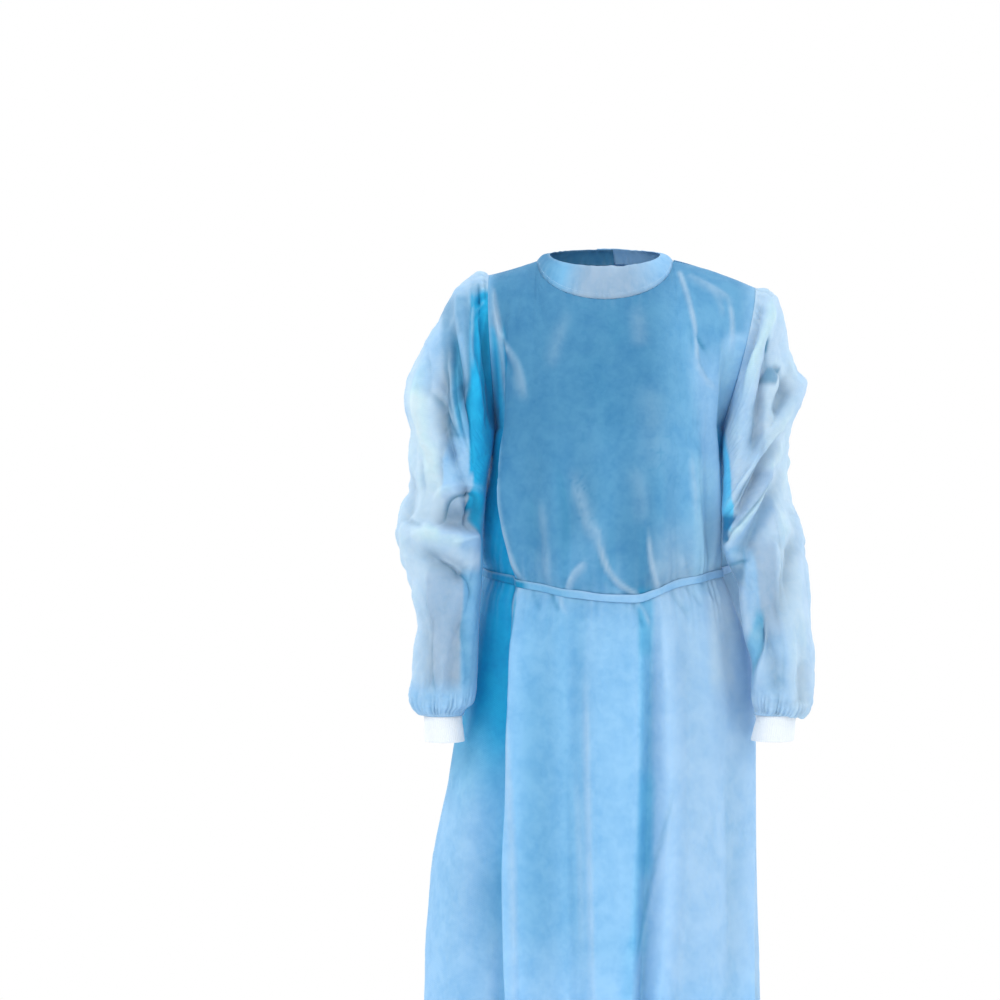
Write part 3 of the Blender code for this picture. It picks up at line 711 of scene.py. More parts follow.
def quads_of(rows: int, columns: int, closed: bool = False, capped: bool = False) -> Array:
    """The quads between the neighbours of a grid, numbered row by row.

    Args:
        rows: How many rows the grid has.
        columns: How many columns.
        closed: Whether its last column meets its first.
        capped: Whether its last row meets its first.

    Returns:
        Four corners for each quad.
    """
    steps = np.arange(rows - (not capped)), np.arange(columns - (not closed))
    row, column = np.meshgrid(*steps, indexing="ij")
    low, high, after = row * columns, (row + 1) % rows * columns, (column + 1) % columns
    corners = [low + column, low + after, high + after, high + column]
    return np.stack(corners, axis=-1).reshape(-1, 4)


@dataclass
class ClothGrid:
    """A grid of points, rows by columns, that becomes one piece of cloth."""

    name: str
    points: Array
    tone: Array
    closed: bool = False  # its last column meets its first
    capped: bool = False  # its last row meets its first

    def places(self) -> Array:
        """Places on the flat cloth, in metres, at each point and past the seams that it closes.

        Returns:
            Across, mean column widths added up, and along, mean row heights added up.
        """
        points = np.pad(self.points, ((0, self.capped), (0, self.closed), (0, 0)), mode="wrap")
        across = np.linalg.norm(np.diff(points, axis=1), axis=-1).mean(axis=0)
        along = np.linalg.norm(np.diff(points, axis=0), axis=-1).mean(axis=1)
        return np.stack(np.meshgrid(added_up(across), added_up(along)), axis=-1)

    def build(self, material: Material, wall: float = 0.0) -> Piece:
        """Makes the mesh object: one quad between four neighbours, with its UV map and its tone.

        Args:
            material: Its finish.
            wall: The cloth's thickness, in metres, added by Solidify.

        Returns:
            The object, riding on the body.
        """
        rows, columns = self.points.shape[:2]
        quads = quads_of(rows, columns, self.closed, self.capped)
        made = meshed(self.name, self.points, quads.tolist(), material)
        made.data.shade_smooth()
        places = self.places()
        uv = places.reshape(-1, 2)[quads_of(*places.shape[:2])]
        layer = made.data.uv_layers.new(name="cloth")
        layer.data.foreach_set("uv", uv.reshape(-1).astype(np.float32))
        # the tone carries the light and shade painted into most pieces
        tone = np.broadcast_to(self.tone, self.points.shape)
        shades = np.concatenate([tone, np.ones((rows, columns, 1))], axis=-1)
        attribute = made.data.attributes.new("tone", "FLOAT_COLOR", "POINT")
        attribute.data.foreach_set("color", shades.reshape(-1).astype(np.float32))
        if wall:
            cloth = made.modifiers.new("Wall", "SOLIDIFY")
            cloth.thickness, cloth.offset = wall, 0.0
        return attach(made, ROOT)


def frames_of(steps: Array, up: Array) -> tuple[Array, Array, Array]:
    """Unit directions along a path, square to it nearest to given ones, and square to both.

    Args:
        steps: How the path runs at each of its points.
        up: A direction at each point, or one for all.

    Returns:
        Along, up and side.
    """
    along = unit(steps)
    side = unit(np.cross(along, up))
    return along, np.cross(side, along), side


def loop_steps(path: Array) -> Array:
    """The way from the point before to the point after, at each point of a closed path."""
    return np.roll(path, -1, axis=0) - np.roll(path, 1, axis=0)


# ------ The body: front and back panels ------
class Ring(NamedTuple):
    """The torso's ring at a height: how far it reaches each way, and where its side seams lie."""

    height: float
    right: float
    left: float
    front: float
    back: float
    side: float


class Drop(NamedTuple):
    """How far the belt line lies below its level, by degrees from the centre front."""

    degrees: float
    fall: float


class Armhole(NamedTuple):
    """An armhole: which side, its tip at the shoulder, its bow and its shoulder's straightness."""

    side: int
    tip_x: float
    tip_z: float
    bow: float
    ridge: float


class Line(NamedTuple):
    """A fold line from hem to underarm: its angles at five heights, its depths at six.

    Columns says how many of the grid lie between it and the next line.
    """

    name: str
    columns: int
    hem: float
    thigh: float
    hip: float
    waist: float
    chest: float
    out_hem: float
    out_thigh: float
    out_hip: float
    out_waist: float
    out_rib: float
    out_chest: float


class Panel(NamedTuple):
    """A panel between two fold lines, and the flat piece that it is cut from."""

    node: str
    first: str
    last: str
    outer: bool  # whether it is the outer one where the backs overlap
    flat: tuple
    area: float


class NeckLine(NamedTuple):
    """A line round the neck: an ellipse whose front and back dip from its sides."""

    half_width: float
    side_z: float
    front: tuple  # its y and z at the centre front
    back: tuple  # the same at the nape

    def points(self, angle: Array) -> Array:
        """The line's points.

        Args:
            angle: Turn from the centre front.

        Returns:
            A point for each turn.
        """
        dip = np.cos(angle)
        y, z = (
            mix(side, np.where(dip > 0, front, back), np.abs(dip))
            for side, front, back in zip((RIDGE_Y, self.side_z), self.front, self.back)
        )
        return np.stack([self.half_width * np.sin(angle), y, z], axis=-1)


class Shading(NamedTuple):
    """Painted shade in a relief's hollows and painted highlights on its ridges."""

    depth: float  # the relief that gives all of it, in metres
    ridge: float  # the most of it on a ridge
    hollow: float  # the most of it in a hollow
    amount: float

    def factor(self, relief: Array, within: Union[float, Array] = 1.0) -> Array:
        """What colours are multiplied by, to paint shade in hollows and highlights on ridges, as
        far as an area says.
        """
        hollow = np.clip(-relief / self.depth, -self.ridge, self.hollow)
        return (1 - self.amount * within * hollow)[..., None]


RINGS = (
    Ring(-1.140, 0.236, 0.207, 0.166, 0.178, 0.012),
    Ring(-1.000, 0.234, 0.203, 0.160, 0.170, 0.016),
    Ring(-0.850, 0.230, 0.199, 0.152, 0.161, 0.022),
    Ring(-0.760, 0.222, 0.198, 0.147, 0.155, 0.028),
    Ring(-0.680, 0.206, 0.198, 0.142, 0.149, 0.034),
    Ring(-0.600, 0.193, 0.198, 0.137, 0.143, 0.040),
    Ring(-0.540, 0.185, 0.196, 0.132, 0.138, 0.044),
    Ring(-0.480, 0.178, 0.190, 0.126, 0.130, 0.047),
    Ring(-0.440, 0.172, 0.184, 0.119, 0.124, 0.048),
    Ring(-0.405, 0.166, 0.176, 0.110, 0.114, 0.048),
    Ring(-0.370, 0.167, 0.171, 0.120, 0.120, 0.048),
    Ring(-0.320, 0.164, 0.164, 0.127, 0.122, 0.042),
    Ring(-0.270, 0.154, 0.158, 0.125, 0.120, 0.024),
    Ring(-0.215, 0.141, 0.152, 0.116, 0.116, 0.004),
)
BELT_DROPS = (
    Drop(-90, -0.002), Drop(-55, 0.009), Drop(-30, 0.019), Drop(-12, 0.028), Drop(4, 0.033),
    Drop(13, 0.033), Drop(24, 0.020), Drop(45, 0.008), Drop(90, -0.006), Drop(135, -0.020),
    Drop(180, -0.024), Drop(225, -0.018), Drop(270, -0.002),
)
ARMHOLES = {
    "right": Armhole(-1, -0.1495, -0.0165, -0.004, 1.2),
    "left": Armhole(1, 0.1940, -0.0330, 0.013, 0.6),
}
LINE_HEIGHTS = (-1.140, -0.700, -0.500, -0.420, -0.215)
DEPTH_HEIGHTS = (-1.140, -0.700, -0.500, -0.420, -0.330, -0.215)
LINES = (
    Line("right seam", 14, -90, -90, -90, -90, -90, 0, 0, 0, 0, 0, 0),
    Line("right swell", 16, -55, -59, -66, -68, -79, 10, 6, 2, 0, -2, -2),
    Line("right hollow", 14, -28.5, -37, -43, -45.5, -70, -20, -25, -23, -8, -17, -8),
    Line("right edge", 24, -24, -31.5, -36, -38, -61, 13, 14, 11, 3, 9, 3),
    Line("right flat", 14, -15, -19, -23, -25, -37, -5, -4, -2, -1, -3, 0),
    Line("right soft ridge", 12, -8.5, -11, -14, -16, -21, 5, 3, 5, 1, 6, 1),
    Line("middle hollow", 10, -5, -7, -8, -8, -9, -3, -2, -4, -2, -6, -1),
    Line("middle ridge", 14, -0.5, -1, 0, 1, 1, 8, 6, 4, 1, 7, 1),
    Line("pleat edge", 8, 6, 8.5, 10.5, 11.5, 10, 8, 8, 5, 1, -2, 0),
    Line("pleat hollow", 8, 8.5, 14, 15.5, 16, 17, -11, -13, -9, -3, 3, 1),
    Line("pleat cover", 14, 11, 21, 20, 20.5, 24, 9, 10, 7, 2, 8, 1),
    Line("left flat", 14, 20, 30, 30, 30, 35, -3, -1, -3, -2, -4, 0),
    Line("left ridge", 14, 30, 41, 41, 41, 47, 5, 3, 3, 1, 4, 1),
    Line("left soft hollow", 14, 44, 54, 54, 50, 57, -4, -3, -3, -1, -6, -1),
    Line("left edge", 12, 61, 69, 67, 59, 66, 8, 6, 6, 2, 3, 1),
    Line("left hollow", 10, 71, 78, 76, 68, 75, -6, -9, -16, -10, -14, -6),
    Line("left seam", 24, 90, 90, 90, 90, 90, 0, 0, 0, 0, 0, 0),
    Line("back left hollow", 24, 114, 112, 110, 110, 110, -14, -11, -8, -2, -6, -2),
    Line("back left ridge", 24, 136, 134, 132, 132, 132, 12, 10, 7, 1, 4, 0),
    Line("under edge", 24, 156, 156, 156, 156, 156, -7, -6, -5, -2, -4, 0),
    Line("centre back", 24, 180, 180, 180, 180, 180, 4, 4, 3, 0, 0, 0),
    Line("over edge", 24, 204, 204, 204, 204, 204, -7, -6, -5, -2, -4, 0),
    Line("back right ridge", 24, 225, 226, 228, 228, 228, 12, 10, 7, 1, 4, 0),
    Line("back right hollow", 24, 247, 249, 250, 250, 250, -14, -11, -8, -2, -6, -2),
    Line("right seam again", 0, 270, 270, 270, 270, 270, 0, 0, 0, 0, 0, 0),
)
PANELS = (
    Panel("front", "right seam", "left seam", False, (0.72, 1.13), 0.66),
    Panel("back_left", "left seam", "over edge", True, (0.45, 1.14), 0.385),
    Panel("back_right", "under edge", "right seam again", False, (0.45, 1.14), 0.380),
)
LINE_AT = {line.name: number for number, line in enumerate(LINES)}
HEM_Z, BELT_Z, UNDERARM_Z = RINGS[0].height, -0.400, RINGS[-1].height
RIDGE_Y = 0.004  # where the shoulder seams lie, front to back
NECK_SEAM = NeckLine(0.088, 0.002, (-0.076, -0.054), (0.060, 0.000))
GATHER_PAINTED_LIGHT = 90  # painted highlight on a gather's ridge and painted shade in its hollow, for each metre of its height
FACET_MEAN = 0.4  # of the heights that crumple gives
FOOT, UNDERARM, TOP = 0.0, 1.0, 2.0  # levels of the body's sheet

BODICE_FOLDS = (
    # From the neck over the left chest to the armhole, with shade and notch
    Fold(96, -15, 105, -45, 111, -72, 1.8, 1.3, 2.2, 1, 1, -0.55),
    Fold(111, -72, 115, -98, 116, -127, 1.8, 1.3, 2, 1, 1, -0.6),
    Fold(116, -127, 124, -149, 150, -175, 1.6, 1.4, 4, 1, 0.1, -0.4),
    Fold(107, -70, 111, -98, 112, -130, -1.6, 6, 2, 0.2, 0.3, 0.12),
    Fold(117, -101, 122, -110, 130, -121, -2.2, 1.6, 1.6, 0.6, 0.3, 0.6),
    # The left shoulder
    Fold(159, -54, 163, -85, 161, -130, 1.4, 1.4, 2, 0.3, 0.2, -0.45),
    Fold(110, -21, 140, -37, 163, -52, 1.2, 3, 5, 0.5, 0.2, -0.32),
    Fold(128, -30, 146, -52, 152, -80, 0.8, 2, 4, 0.3, 0, -0.16),
    # Beside the right armhole
    Fold(-144, -40, -138, -84, -119, -121, 3, 1.8, 5, 0.8, 1, -0.4),
    Fold(-119, -121, -106, -146, -99, -190, 2.2, 2.5, 9, 1, 0, -0.22),
    Fold(-139, -96, -126, -126, -116, -160, -1.6, 7, 2.5, 0.2, 0, 0.12),
    # The bodice's right edge, then its left side
    Fold(-141, -46, -133, -140, -131, -284, 2, 1.4, 3.2, 0.3, 1, -0.42),
    Fold(-131, -284, -124, -350, -108, -404, 2.2, 1.4, 3.2, 1, 0.8, -0.48),
    Fold(139, -205, 143, -309, 139, -398, 2.2, 5, 2.5, 0.2, 0.7, -0.34),
    Fold(108, -246, 111, -292, 112, -340, 1, 2.2, 3, 0.2, 0.1, -0.26),
    Fold(118, -252, 120, -300, 121, -352, -1, 3, 3, 0.1, 0.1, 0.12),
    # Up from the belt: middle, left and an inverted V
    Fold(-8, -348, 6, -398, 41, -429, 3.2, 1.4, 5, 0.4, 1, -0.55),
    Fold(-12, -356, 0, -402, 32, -431, -2.4, 4, 1.6, 0.2, 1, 0.2),
    Fold(54, -344, 58, -388, 68, -420, 2.2, 1.2, 1.8, 0.1, 1, -0.62),
    Fold(49, -340, 52, -384, 60, -420, -1.5, 4, 1.6, 0, 1, 0.14),
    Fold(-50, -422, -39, -400, -22, -384, 3, 1.4, 6, 1, 0.1, -0.48),
    # Long creases down to the belt, with painted shade and highlights along them
    Fold(-62, -250, -48, -331, -50, -416, -2.8, 3.5, 7, 0.1, 0.8, 0.28),
    Fold(-44, -262, -26, -326, -8, -366, 2.2, 8, 6, 0, 0.2, -0.24),
    Fold(-98, -292, -92, -350, -88, -406, -1.6, 6, 8, 0, 0.5, 0.14),
    Fold(-82, -300, -74, -356, -72, -412, 1.4, 5, 7, 0, 0.3, -0.14),
    Fold(98, -372, 101, -393, 107, -410, 1.6, 2, 3, 0, 1, -0.2),
    # Broad forms of the chest
    Fold(-20, -110, 0, -180, 24, -262, -2, 16, 20, 0, 0, 0.1),
    Fold(50, -150, 60, -215, 58, -292, 2, 14, 16, 0, 0, -0.08),
    Fold(30, -262, 46, -300, 44, -350, 1.4, 8, 10, 0, 0, -0.1),
    # Below the neck
    Fold(-48, -78, -60, -112, -66, -150, 1.4, 6, 9, 0.5, 0, -0.1),
    Fold(40, -70, 42, -92, 44, -122, 1.4, 9, 8, 0.5, 0, -0.15),
    Fold(12, -78, 14, -96, 16, -122, -1.2, 8, 8, 0.4, 0, 0.12),
)
SKIRT_FOLDS = (
    # Gathers below the belt, from right to left
    Fold(-69, -424, -64, -436, -57, -452, -2.4, 2, 3, 1, 0.1, 0.42),
    Fold(-60, -426, -54, -438, -47, -456, 1.8, 2, 4, 1, 0, -0.26),
    Fold(-94, -420, -88, -434, -80, -452, -1.8, 3, 3, 1, 0, 0.24),
    Fold(-30, -434, -28, -448, -27, -464, -1.4, 2, 3, 1, 0, 0.16),
    Fold(86, -424, 95, -440, 109, -460, -2, 3, 3, 1, 0, 0.26),
    Fold(103, -416, 114, -431, 126, -449, -1.8, 3, 3, 1, 0, 0.2),
    Fold(121, -408, 134, -424, 148, -444, -1.6, 3, 3, 1, 0, 0.16),
    # Where the pleat spreads at the belt
    Fold(42, -436, 50, -450, 58, -470, 2.2, 1.6, 3, 1, 0.1, -0.34),
    Fold(36, -438, 42, -452, 50, -472, -1.6, 3, 1.6, 1, 0, 0.3),
    # The front's right edge, downwards
    Fold(-105, -412, -119, -470, -119, -574, 2.6, 1.5, 5, 1, 1, -0.42),
    Fold(-119, -574, -112, -700, -108, -879, 2.6, 1.5, 5, 1, 1, -0.42),
    Fold(-108, -879, -107, -1000, -108, -1150, 2.6, 1.5, 5, 1, 1, -0.34),
    # The cloth that covers the pleat
    Fold(86, -672, 72, -740, 44, -875, 1.8, 1.4, 5, 0.1, 1, -0.24),
    Fold(82, -674, 68, -742, 40, -877, -1.4, 1.8, 1.4, 0.3, 1, 0.42),
    Fold(44, -875, 36, -1000, 34, -1150, 1.8, 1.4, 5, 1, 1, -0.2),
    # Down the middle
    Fold(-24, -496, -20, -680, -15, -879, 1.8, 2, 5, 0.1, 1, -0.36),
    Fold(-15, -879, -14, -1000, -18, -1150, 1.8, 3, 6, 1, 1, -0.26),
    Fold(-38, -620, -31, -750, -28, -900, 1.6, 3, 7, 0, 0.2, -0.24),
    Fold(-46, -600, -42, -740, -36, -880, -1.6, 10, 4, 0, 0.3, 0.12),
    # Broad forms, and creases down to the hem
    Fold(-85, -480, -82, -640, -78, -860, 2.4, 16, 18, 0, 0, 0.06),
    Fold(112, -500, 122, -680, 124, -880, 3, 18, 20, 0, 0.2, -0.1),
    Fold(150, -600, 158, -760, 164, -960, -2.2, 12, 6, 0, 0.4, 0.12),
    Fold(96, -900, 92, -1010, 94, -1150, -2.2, 9, 11, 0, 1, 0.1),
    Fold(-66, -930, -64, -1030, -62, -1150, -2, 9, 11, 0, 1, 0.1),
    # The side cloth
    Fold(-160, -560, -172, -720, -184, -940, 3, 8, 12, 0, 0.4, -0.16),
    Fold(-148, -820, -152, -960, -156, -1150, 2.6, 7, 10, 0, 1, -0.16),
)
BODY_PATCHES = (
    # The bodice: painted light and shade
    Patch(132, -150, 56, 130, -0.05, 60, Tone.MID, 0.75),
    Patch(138, -190, 24, 66, -0.1, 24, Tone.SKY, 0.95),
    Patch(118, -310, 44, 100, 0, 40, Tone.MID, 0.8),
    Patch(136, -300, 14, 120, 0, 10, Tone.SKY, 0.9),
    Patch(10, -262, 60, 70, 0.2, 60, Tone.MID, 0.2),
    Patch(-92, -340, 26, 70, 0, 40, Tone.MID, 0.16),
    Patch(-78, -398, 14, 18, 0, 16, Tone.GREY, 0.24),
    Patch(-28, -372, 20, 36, 0.3, 24, Tone.MID, 0.5),
    # The skirt: painted shade, and painted light on its left side beside the sleeve
    Patch(-40, -640, 70, 240, 0, 40, Tone.MID, 0.76),
    Patch(-88, -700, 22, 150, 0.05, 30, Tone.MID, 0.4),
    Patch(0, -640, 26, 210, 0, 16, Tone.SKY, 0.55),
    Patch(128, -640, 66, 280, 0, 30, Tone.PALE, 0.42),
    # The left flank and hip: painted light where the sleeve shades them
    Patch(134, -340, 21, 80, 0, 14, Tone.ICE, 0.75),
    Patch(150, -480, 18, 70, 0, 16, Tone.WHITE, 0.8),
    # The pleat, downwards: painted shade in its hollow, where the cloth also lies double
    Patch(50, -462, 9, 40, 0, 5, Tone.TEAL, 0.4),
    Patch(52, -600, 10, 175, 0, 8, Tone.CYAN, 0.42),
    Patch(48, -760, 12, 110, 0.05, 10, Tone.CYAN, 0.36),
    Patch(30, -1000, 16, 150, 0.06, 14, Tone.CYAN, 0.22),
)
SIDE_PATCHES = (
    # The right side, downwards: painted shade on the side cloth, with painted light lower down
    Patch(-150, -120, 20, 130, 0.02, 20, Tone.CYAN, 0.55),
    Patch(-138, -300, 36, 130, 0, 20, Tone.CYAN, 1),
    Patch(-124, -372, 10, 22, -0.2, 8, Tone.SLATE, 0.8),
    Patch(-140, -560, 46, 200, 0, 40, Tone.CYAN, 1),
    Patch(-123, -540, 5, 130, 0.03, 5, Tone.DEEP, 0.6),
    Patch(-132, -740, 22, 120, 0.1, 24, Tone.MID, 0.35),
    Patch(-200, -840, 44, 180, 0.1, 50, Tone.SKY, 0.9),
    Patch(-160, -1010, 80, 150, 0, 40, Tone.SKY, 0.9),
    Patch(-128, -960, 18, 160, 0, 24, Tone.MID, 0.8),
    # The left side, downwards: painted light and shade beside the sleeve
    Patch(150, -120, 40, 110, 0, 10, Tone.SKY, 1),
    Patch(150, -190, 40, 80, 0, 20, Tone.ICE, 0.85),
    Patch(158, -285, 24, 70, 0, 12, Tone.AQUA, 1),
    Patch(158, -360, 24, 50, 0, 16, Tone.ICE, 0.8),
    Patch(168, -412, 20, 30, -0.15, 10, Tone.TEAL, 0.95),
    Patch(190, -680, 60, 250, 0, 50, Tone.PALE, 0.85),
    Patch(156, -510, 18, 70, 0, 14, Tone.WHITE, 0.8),
    Patch(190, -1000, 60, 220, 0, 60, Tone.PALE, 0.5),
)
BACK_FOLDS = (
    # From the belt's knot: to the sides, up and down
    Fold(-14, -402, -62, -372, -110, -322, 3.5, 5, 9, 1, 0, -0.16),
    Fold(-14, -404, -70, -392, -128, -366, 2.8, 5, 7, 1, 0, -0.12),
    Fold(14, -402, 58, -366, 98, -308, 3.5, 9, 5, 1, 0, -0.16),
    Fold(14, -404, 66, -390, 124, -360, 2.8, 7, 5, 1, 0, -0.12),
    Fold(-8, -396, -26, -330, -34, -240, -3, 8, 8, 1, 0, 0.14),
    Fold(10, -396, 30, -338, 46, -262, -2.6, 8, 9, 1, 0, 0.12),
    Fold(-14, -424, -48, -500, -62, -620, -4, 9, 8, 1, 0, 0.16),
    Fold(16, -424, 52, -498, 72, -640, -4, 8, 9, 1, 0, 0.16),
    # The skirt
    Fold(-92, -520, -104, -760, -112, -1150, 4, 10, 14, 0, 1, -0.14),
    Fold(96, -540, 106, -780, 110, -1150, 4, 14, 10, 0, 1, -0.14),
    Fold(-132, -620, -144, -840, -152, -1150, -3.5, 10, 12, 0, 1, 0.14),
    Fold(132, -600, 142, -840, 150, -1150, -3.5, 12, 10, 0, 1, 0.14),
    # Shoulders and shoulder blades
    Fold(-20, -6, -74, -52, -116, -140, 2.6, 6, 9, 0.6, 0, -0.12),
    Fold(20, -6, 78, -50, 128, -132, 2.6, 9, 6, 0.6, 0, -0.12),
    Fold(-60, -90, -74, -170, -70, -262, 2.4, 10, 14, 0, 0, -0.08),
    Fold(66, -86, 86, -160, 82, -254, 2.4, 14, 10, 0, 0, -0.08),
)
BACK_PATCHES = (
    Patch(0, -205, 150, 214, 0, 20, Tone.MID, 0.7),
    Patch(0, -220, 60, 170, 0, 60, Tone.SLATE, 0.3),
    Patch(0, -800, 150, 330, 0, 60, Tone.MID, 0.35),
)


@dataclass
class GownBody:
    """The front panel and the two back panels, from the hem to the shoulder and neck seams."""

    wall: float = 0.0005
    roundness: float = 2.25
    belt_reach: float = 0.090
    belt_nip: float = 0.005
    belt_nip_reach: float = 0.015
    neck_share: float = 0.44
    neck_blend: float = 0.12  # share over which the shoulder's arc turns into the neck's
    shoulder_turn: float = math.radians(88)
    neck_turn: float = math.radians(52)
    armhole_front: float = 0.054
    armhole_back: float = 0.058
    fold_end: float = 1.7  # level where the main folds have died away
    over: float = 0.0026  # lift of the outer back panel
    over_start: tuple = (118, 152)  # degrees between which it is lifted
    over_end: tuple = (222, 206)  # and let down again
    bunch: float = 0.0022  # how far the side seams stand out just below the underarms
    bunch_drop: float = 0.018
    bunch_turn: float = 0.05
    radius: float = 0.165  # of the mean girth
    facing: float = 0.18  # cosine of the turn over which the folds of front and back fade in
    least_fold: float = 2.6  # in millimetres: about the grid's spacing on the bodice
    gathers_up: Wave = Wave(0.0013, 0.0135, 0.4)  # above the belt
    gathers_down: Wave = Wave(0.0014, 0.0118, 1.9)  # below it
    gather_reach: tuple = (0.030, 0.036, 0.002)  # upwards, downwards, past the belt
    neck_gathers: Wave = Wave(0.0005, 0.011, 0.7)
    neck_reach: float = 0.085
    hem_waves: Wave = Wave(0.0011, 0.060, 2.3)
    hem_reach: float = 0.012
    wide_facet: float = 0.052
    fine_facet: float = 0.021
    wide_relief: float = 0.0014
    fine_relief: float = 0.0005
    slow_relief: float = 0.0016  # of broad, slow waves all over
    crack: float = 0.06  # width of a crack between two facets, in facet heights
    crack_relief: float = 0.0003
    # painted shade along the cracks between facets, above the belt
    crack_shade: float = 0.10
    crack_waves: tuple = (Wave(1.0, 0.11, 1.0), Wave(1.0, 0.13, 2.0))  # where cracks lie
    seam_reach: float = 0.045
    top_reach: float = 0.07
    belt_press: float = 0.85  # how much of the small relief the belt flattens at the sides
    side_turn: float = math.radians(1.2)  # how softly the side cloth's painted light and shade begin
    front_cosines: tuple = (-0.126, 0.234)  # between which the front's tone begins
    shading: Shading = Shading(0.030, 0.35, 0.75, 0.30)
    row_levels: tuple = ((FOOT, 0.745, 58), (0.745, UNDERARM, 84), (UNDERARM, TOP, 84))

    def torso_point(self, angle: Array, height: Array) -> tuple[Array, Array, Array]:
        """A point of the plain torso tube: a superellipse ring, sunk near the belt.

        Args:
            angle: Turn from the centre front towards the wearer's left.
            height: Level of the ring.

        Returns:
            Its x, y and z.
        """
        sizes = row_at(RINGS, height)
        half = np.where(np.sin(angle) < 0, sizes.right, sizes.left)
        x = half * power(np.sin(angle), 2 / self.roundness)
        front, back = sizes.front + sizes.side, sizes.back - sizes.side
        reach = np.where(np.cos(angle) > 0, front, back)
        y = sizes.side - reach * power(np.cos(angle), 2 / self.roundness)
        near_belt = bump(height - BELT_Z, self.belt_reach)
        return x, y, height - column_of(BELT_DROPS, "fall", np.degrees(angle)) * near_belt

    def top_edge(self, across: Array, front: Array) -> tuple[Array, Array, Array]:
        """The upper edge of a panel: shoulder seam, the neck's half ellipse, shoulder seam.

        Args:
            across: -1 at the right armhole, 1 at the left.
            front: Whether the panel is the front one.

        Returns:
            Its x, y and z.
        """
        tip_x, tip_z, ridge = (
            np.where(across < 0, *(getattr(ARMHOLES[side], name) for side in ("right", "left")))
            for name in ("tip_x", "tip_z", "ridge")
        )
        half_width, side_z, *lows = NECK_SEAM
        beyond = np.clip((np.abs(across) - self.neck_share) / (1 - self.neck_share), 0.0, 1.0)
        round_neck = np.clip(across / self.neck_share, -1.0, 1.0) * math.pi / 2
        shoulder_x = mix(np.sign(across) * half_width, tip_x, beyond)
        x = np.where(beyond > 0, shoulder_x, half_width * np.sin(round_neck))
        fall = (side_z - tip_z) * mix(beyond**2, beyond, ridge)
        low_y, low_z = (np.where(front, ahead, behind) for ahead, behind in zip(*lows))
        dip = np.cos(round_neck)
        return x, mix(RIDGE_Y, low_y, dip), mix(side_z, low_z, dip) - fall

    def shoulder_point(self, angle: Array, rise: Array) -> tuple[Array, Array, Array]:
        """A point above the underarms: an arc over from the torso to the panel's upper edge.

        Args:
            angle: Turn from the centre front.
            rise: 0 at the underarms and 1 at the upper edge.

        Returns:
            Its x, y and z.
        """
        front = np.cos(angle) > 0
        around = np.where(angle > 1.5 * math.pi, angle - TURN, angle)
        across = np.where(front, around, math.pi - around) / (math.pi / 2)
        low_x, low_y, low_z = self.torso_point(angle, np.full_like(angle, UNDERARM_Z))
        top_x, top_y, top_z = self.top_edge(across, front)
        outside, inside = self.neck_share + self.neck_blend, self.neck_share - self.neck_blend
        under_neck = ease(np.abs(across), outside, inside)
        turn = mix(self.shoulder_turn, self.neck_turn, under_neck)
        over = (np.cos(turn * rise) - np.cos(turn)) / (1 - np.cos(turn))
        up = np.sin(turn * rise) / np.sin(turn)
        edge = np.abs(across) ** 4 * np.sin(math.pi * rise) ** 0.85
        bow = np.where(across < 0, ARMHOLES["right"].bow, ARMHOLES["left"].bow)
        forward = np.where(front, -self.armhole_front, self.armhole_back)
        x = mix(low_x, top_x, rise) + bow * edge
        return x, mix(top_y, low_y, over) + forward * edge, mix(low_z, top_z, up)

    def level_of(self, z: Array) -> Array:
        """A torso height as a level: 0 at the hem and 1 at the underarms."""
        return (z - HEM_Z) / (UNDERARM_Z - HEM_Z)

    def height_of(self, level: Array) -> Array:
        """The torso height of a level, before the rows tilt with the belt."""
        return mix(HEM_Z, UNDERARM_Z, np.clip(level, FOOT, UNDERARM))

    def plain(self, angle: Array, level: Array) -> Array:
        """The body's sheet without folds.

        Args:
            angle: Turn from the centre front.
            level: 0 at the hem, 1 at the underarms and 2 at the top.

        Returns:
            Its points.
        """
        angle, level = np.broadcast_arrays(np.asarray(angle, float), np.asarray(level, float))
        low = self.torso_point(angle, self.height_of(level))
        high = self.shoulder_point(angle, np.clip(level - UNDERARM, 0.0, 1.0))
        return np.stack([np.where(level > UNDERARM, h, w) for w, h in zip(low, high)], axis=-1)

    def line_angle(self, line: Line, level: Array) -> Array:
        """A fold line's angle at a level."""
        return np.radians(curve(LINE_HEIGHTS, line[2:7], self.height_of(level)))

    def line_depth(self, line: Line, level: Array) -> Array:
        """How far a fold line stands out at a level; folds die away towards the shoulders."""
        depth = curve(DEPTH_HEIGHTS, line[7:13], self.height_of(level)) * MM
        return depth * ease(level, self.fold_end, UNDERARM)

    def main_relief(self, angle: Array, level: Array) -> Array:
        """The solids' own folds: a smooth step from each fold line's depth to the next one's.

        Args:
            angle: Turn from the centre front.
            level: The sheet's level.

        Returns:
            How far the cloth stands out, in metres.
        """
        height = self.height_of(level)
        relief = -self.belt_nip * bump(height - BELT_Z, self.belt_nip_reach)
        bunched = bump(height - UNDERARM_Z + self.bunch_drop, self.bunch_drop)
        bunched = bunched * ease(level, UNDERARM, 0.992)
        relief = relief + self.bunch * bunched * bump(np.abs(np.sin(angle)) - 1, self.bunch_turn)
        for line, after in zip(LINES, LINES[1:]):
            start, end = self.line_angle(line, level), self.line_angle(after, level)
            share = ease(angle, start, end)
            depth = mix(self.line_depth(line, level), self.line_depth(after, level), share)
            relief = relief + np.where((angle >= start) & (angle < end), depth, 0.0)
        return relief

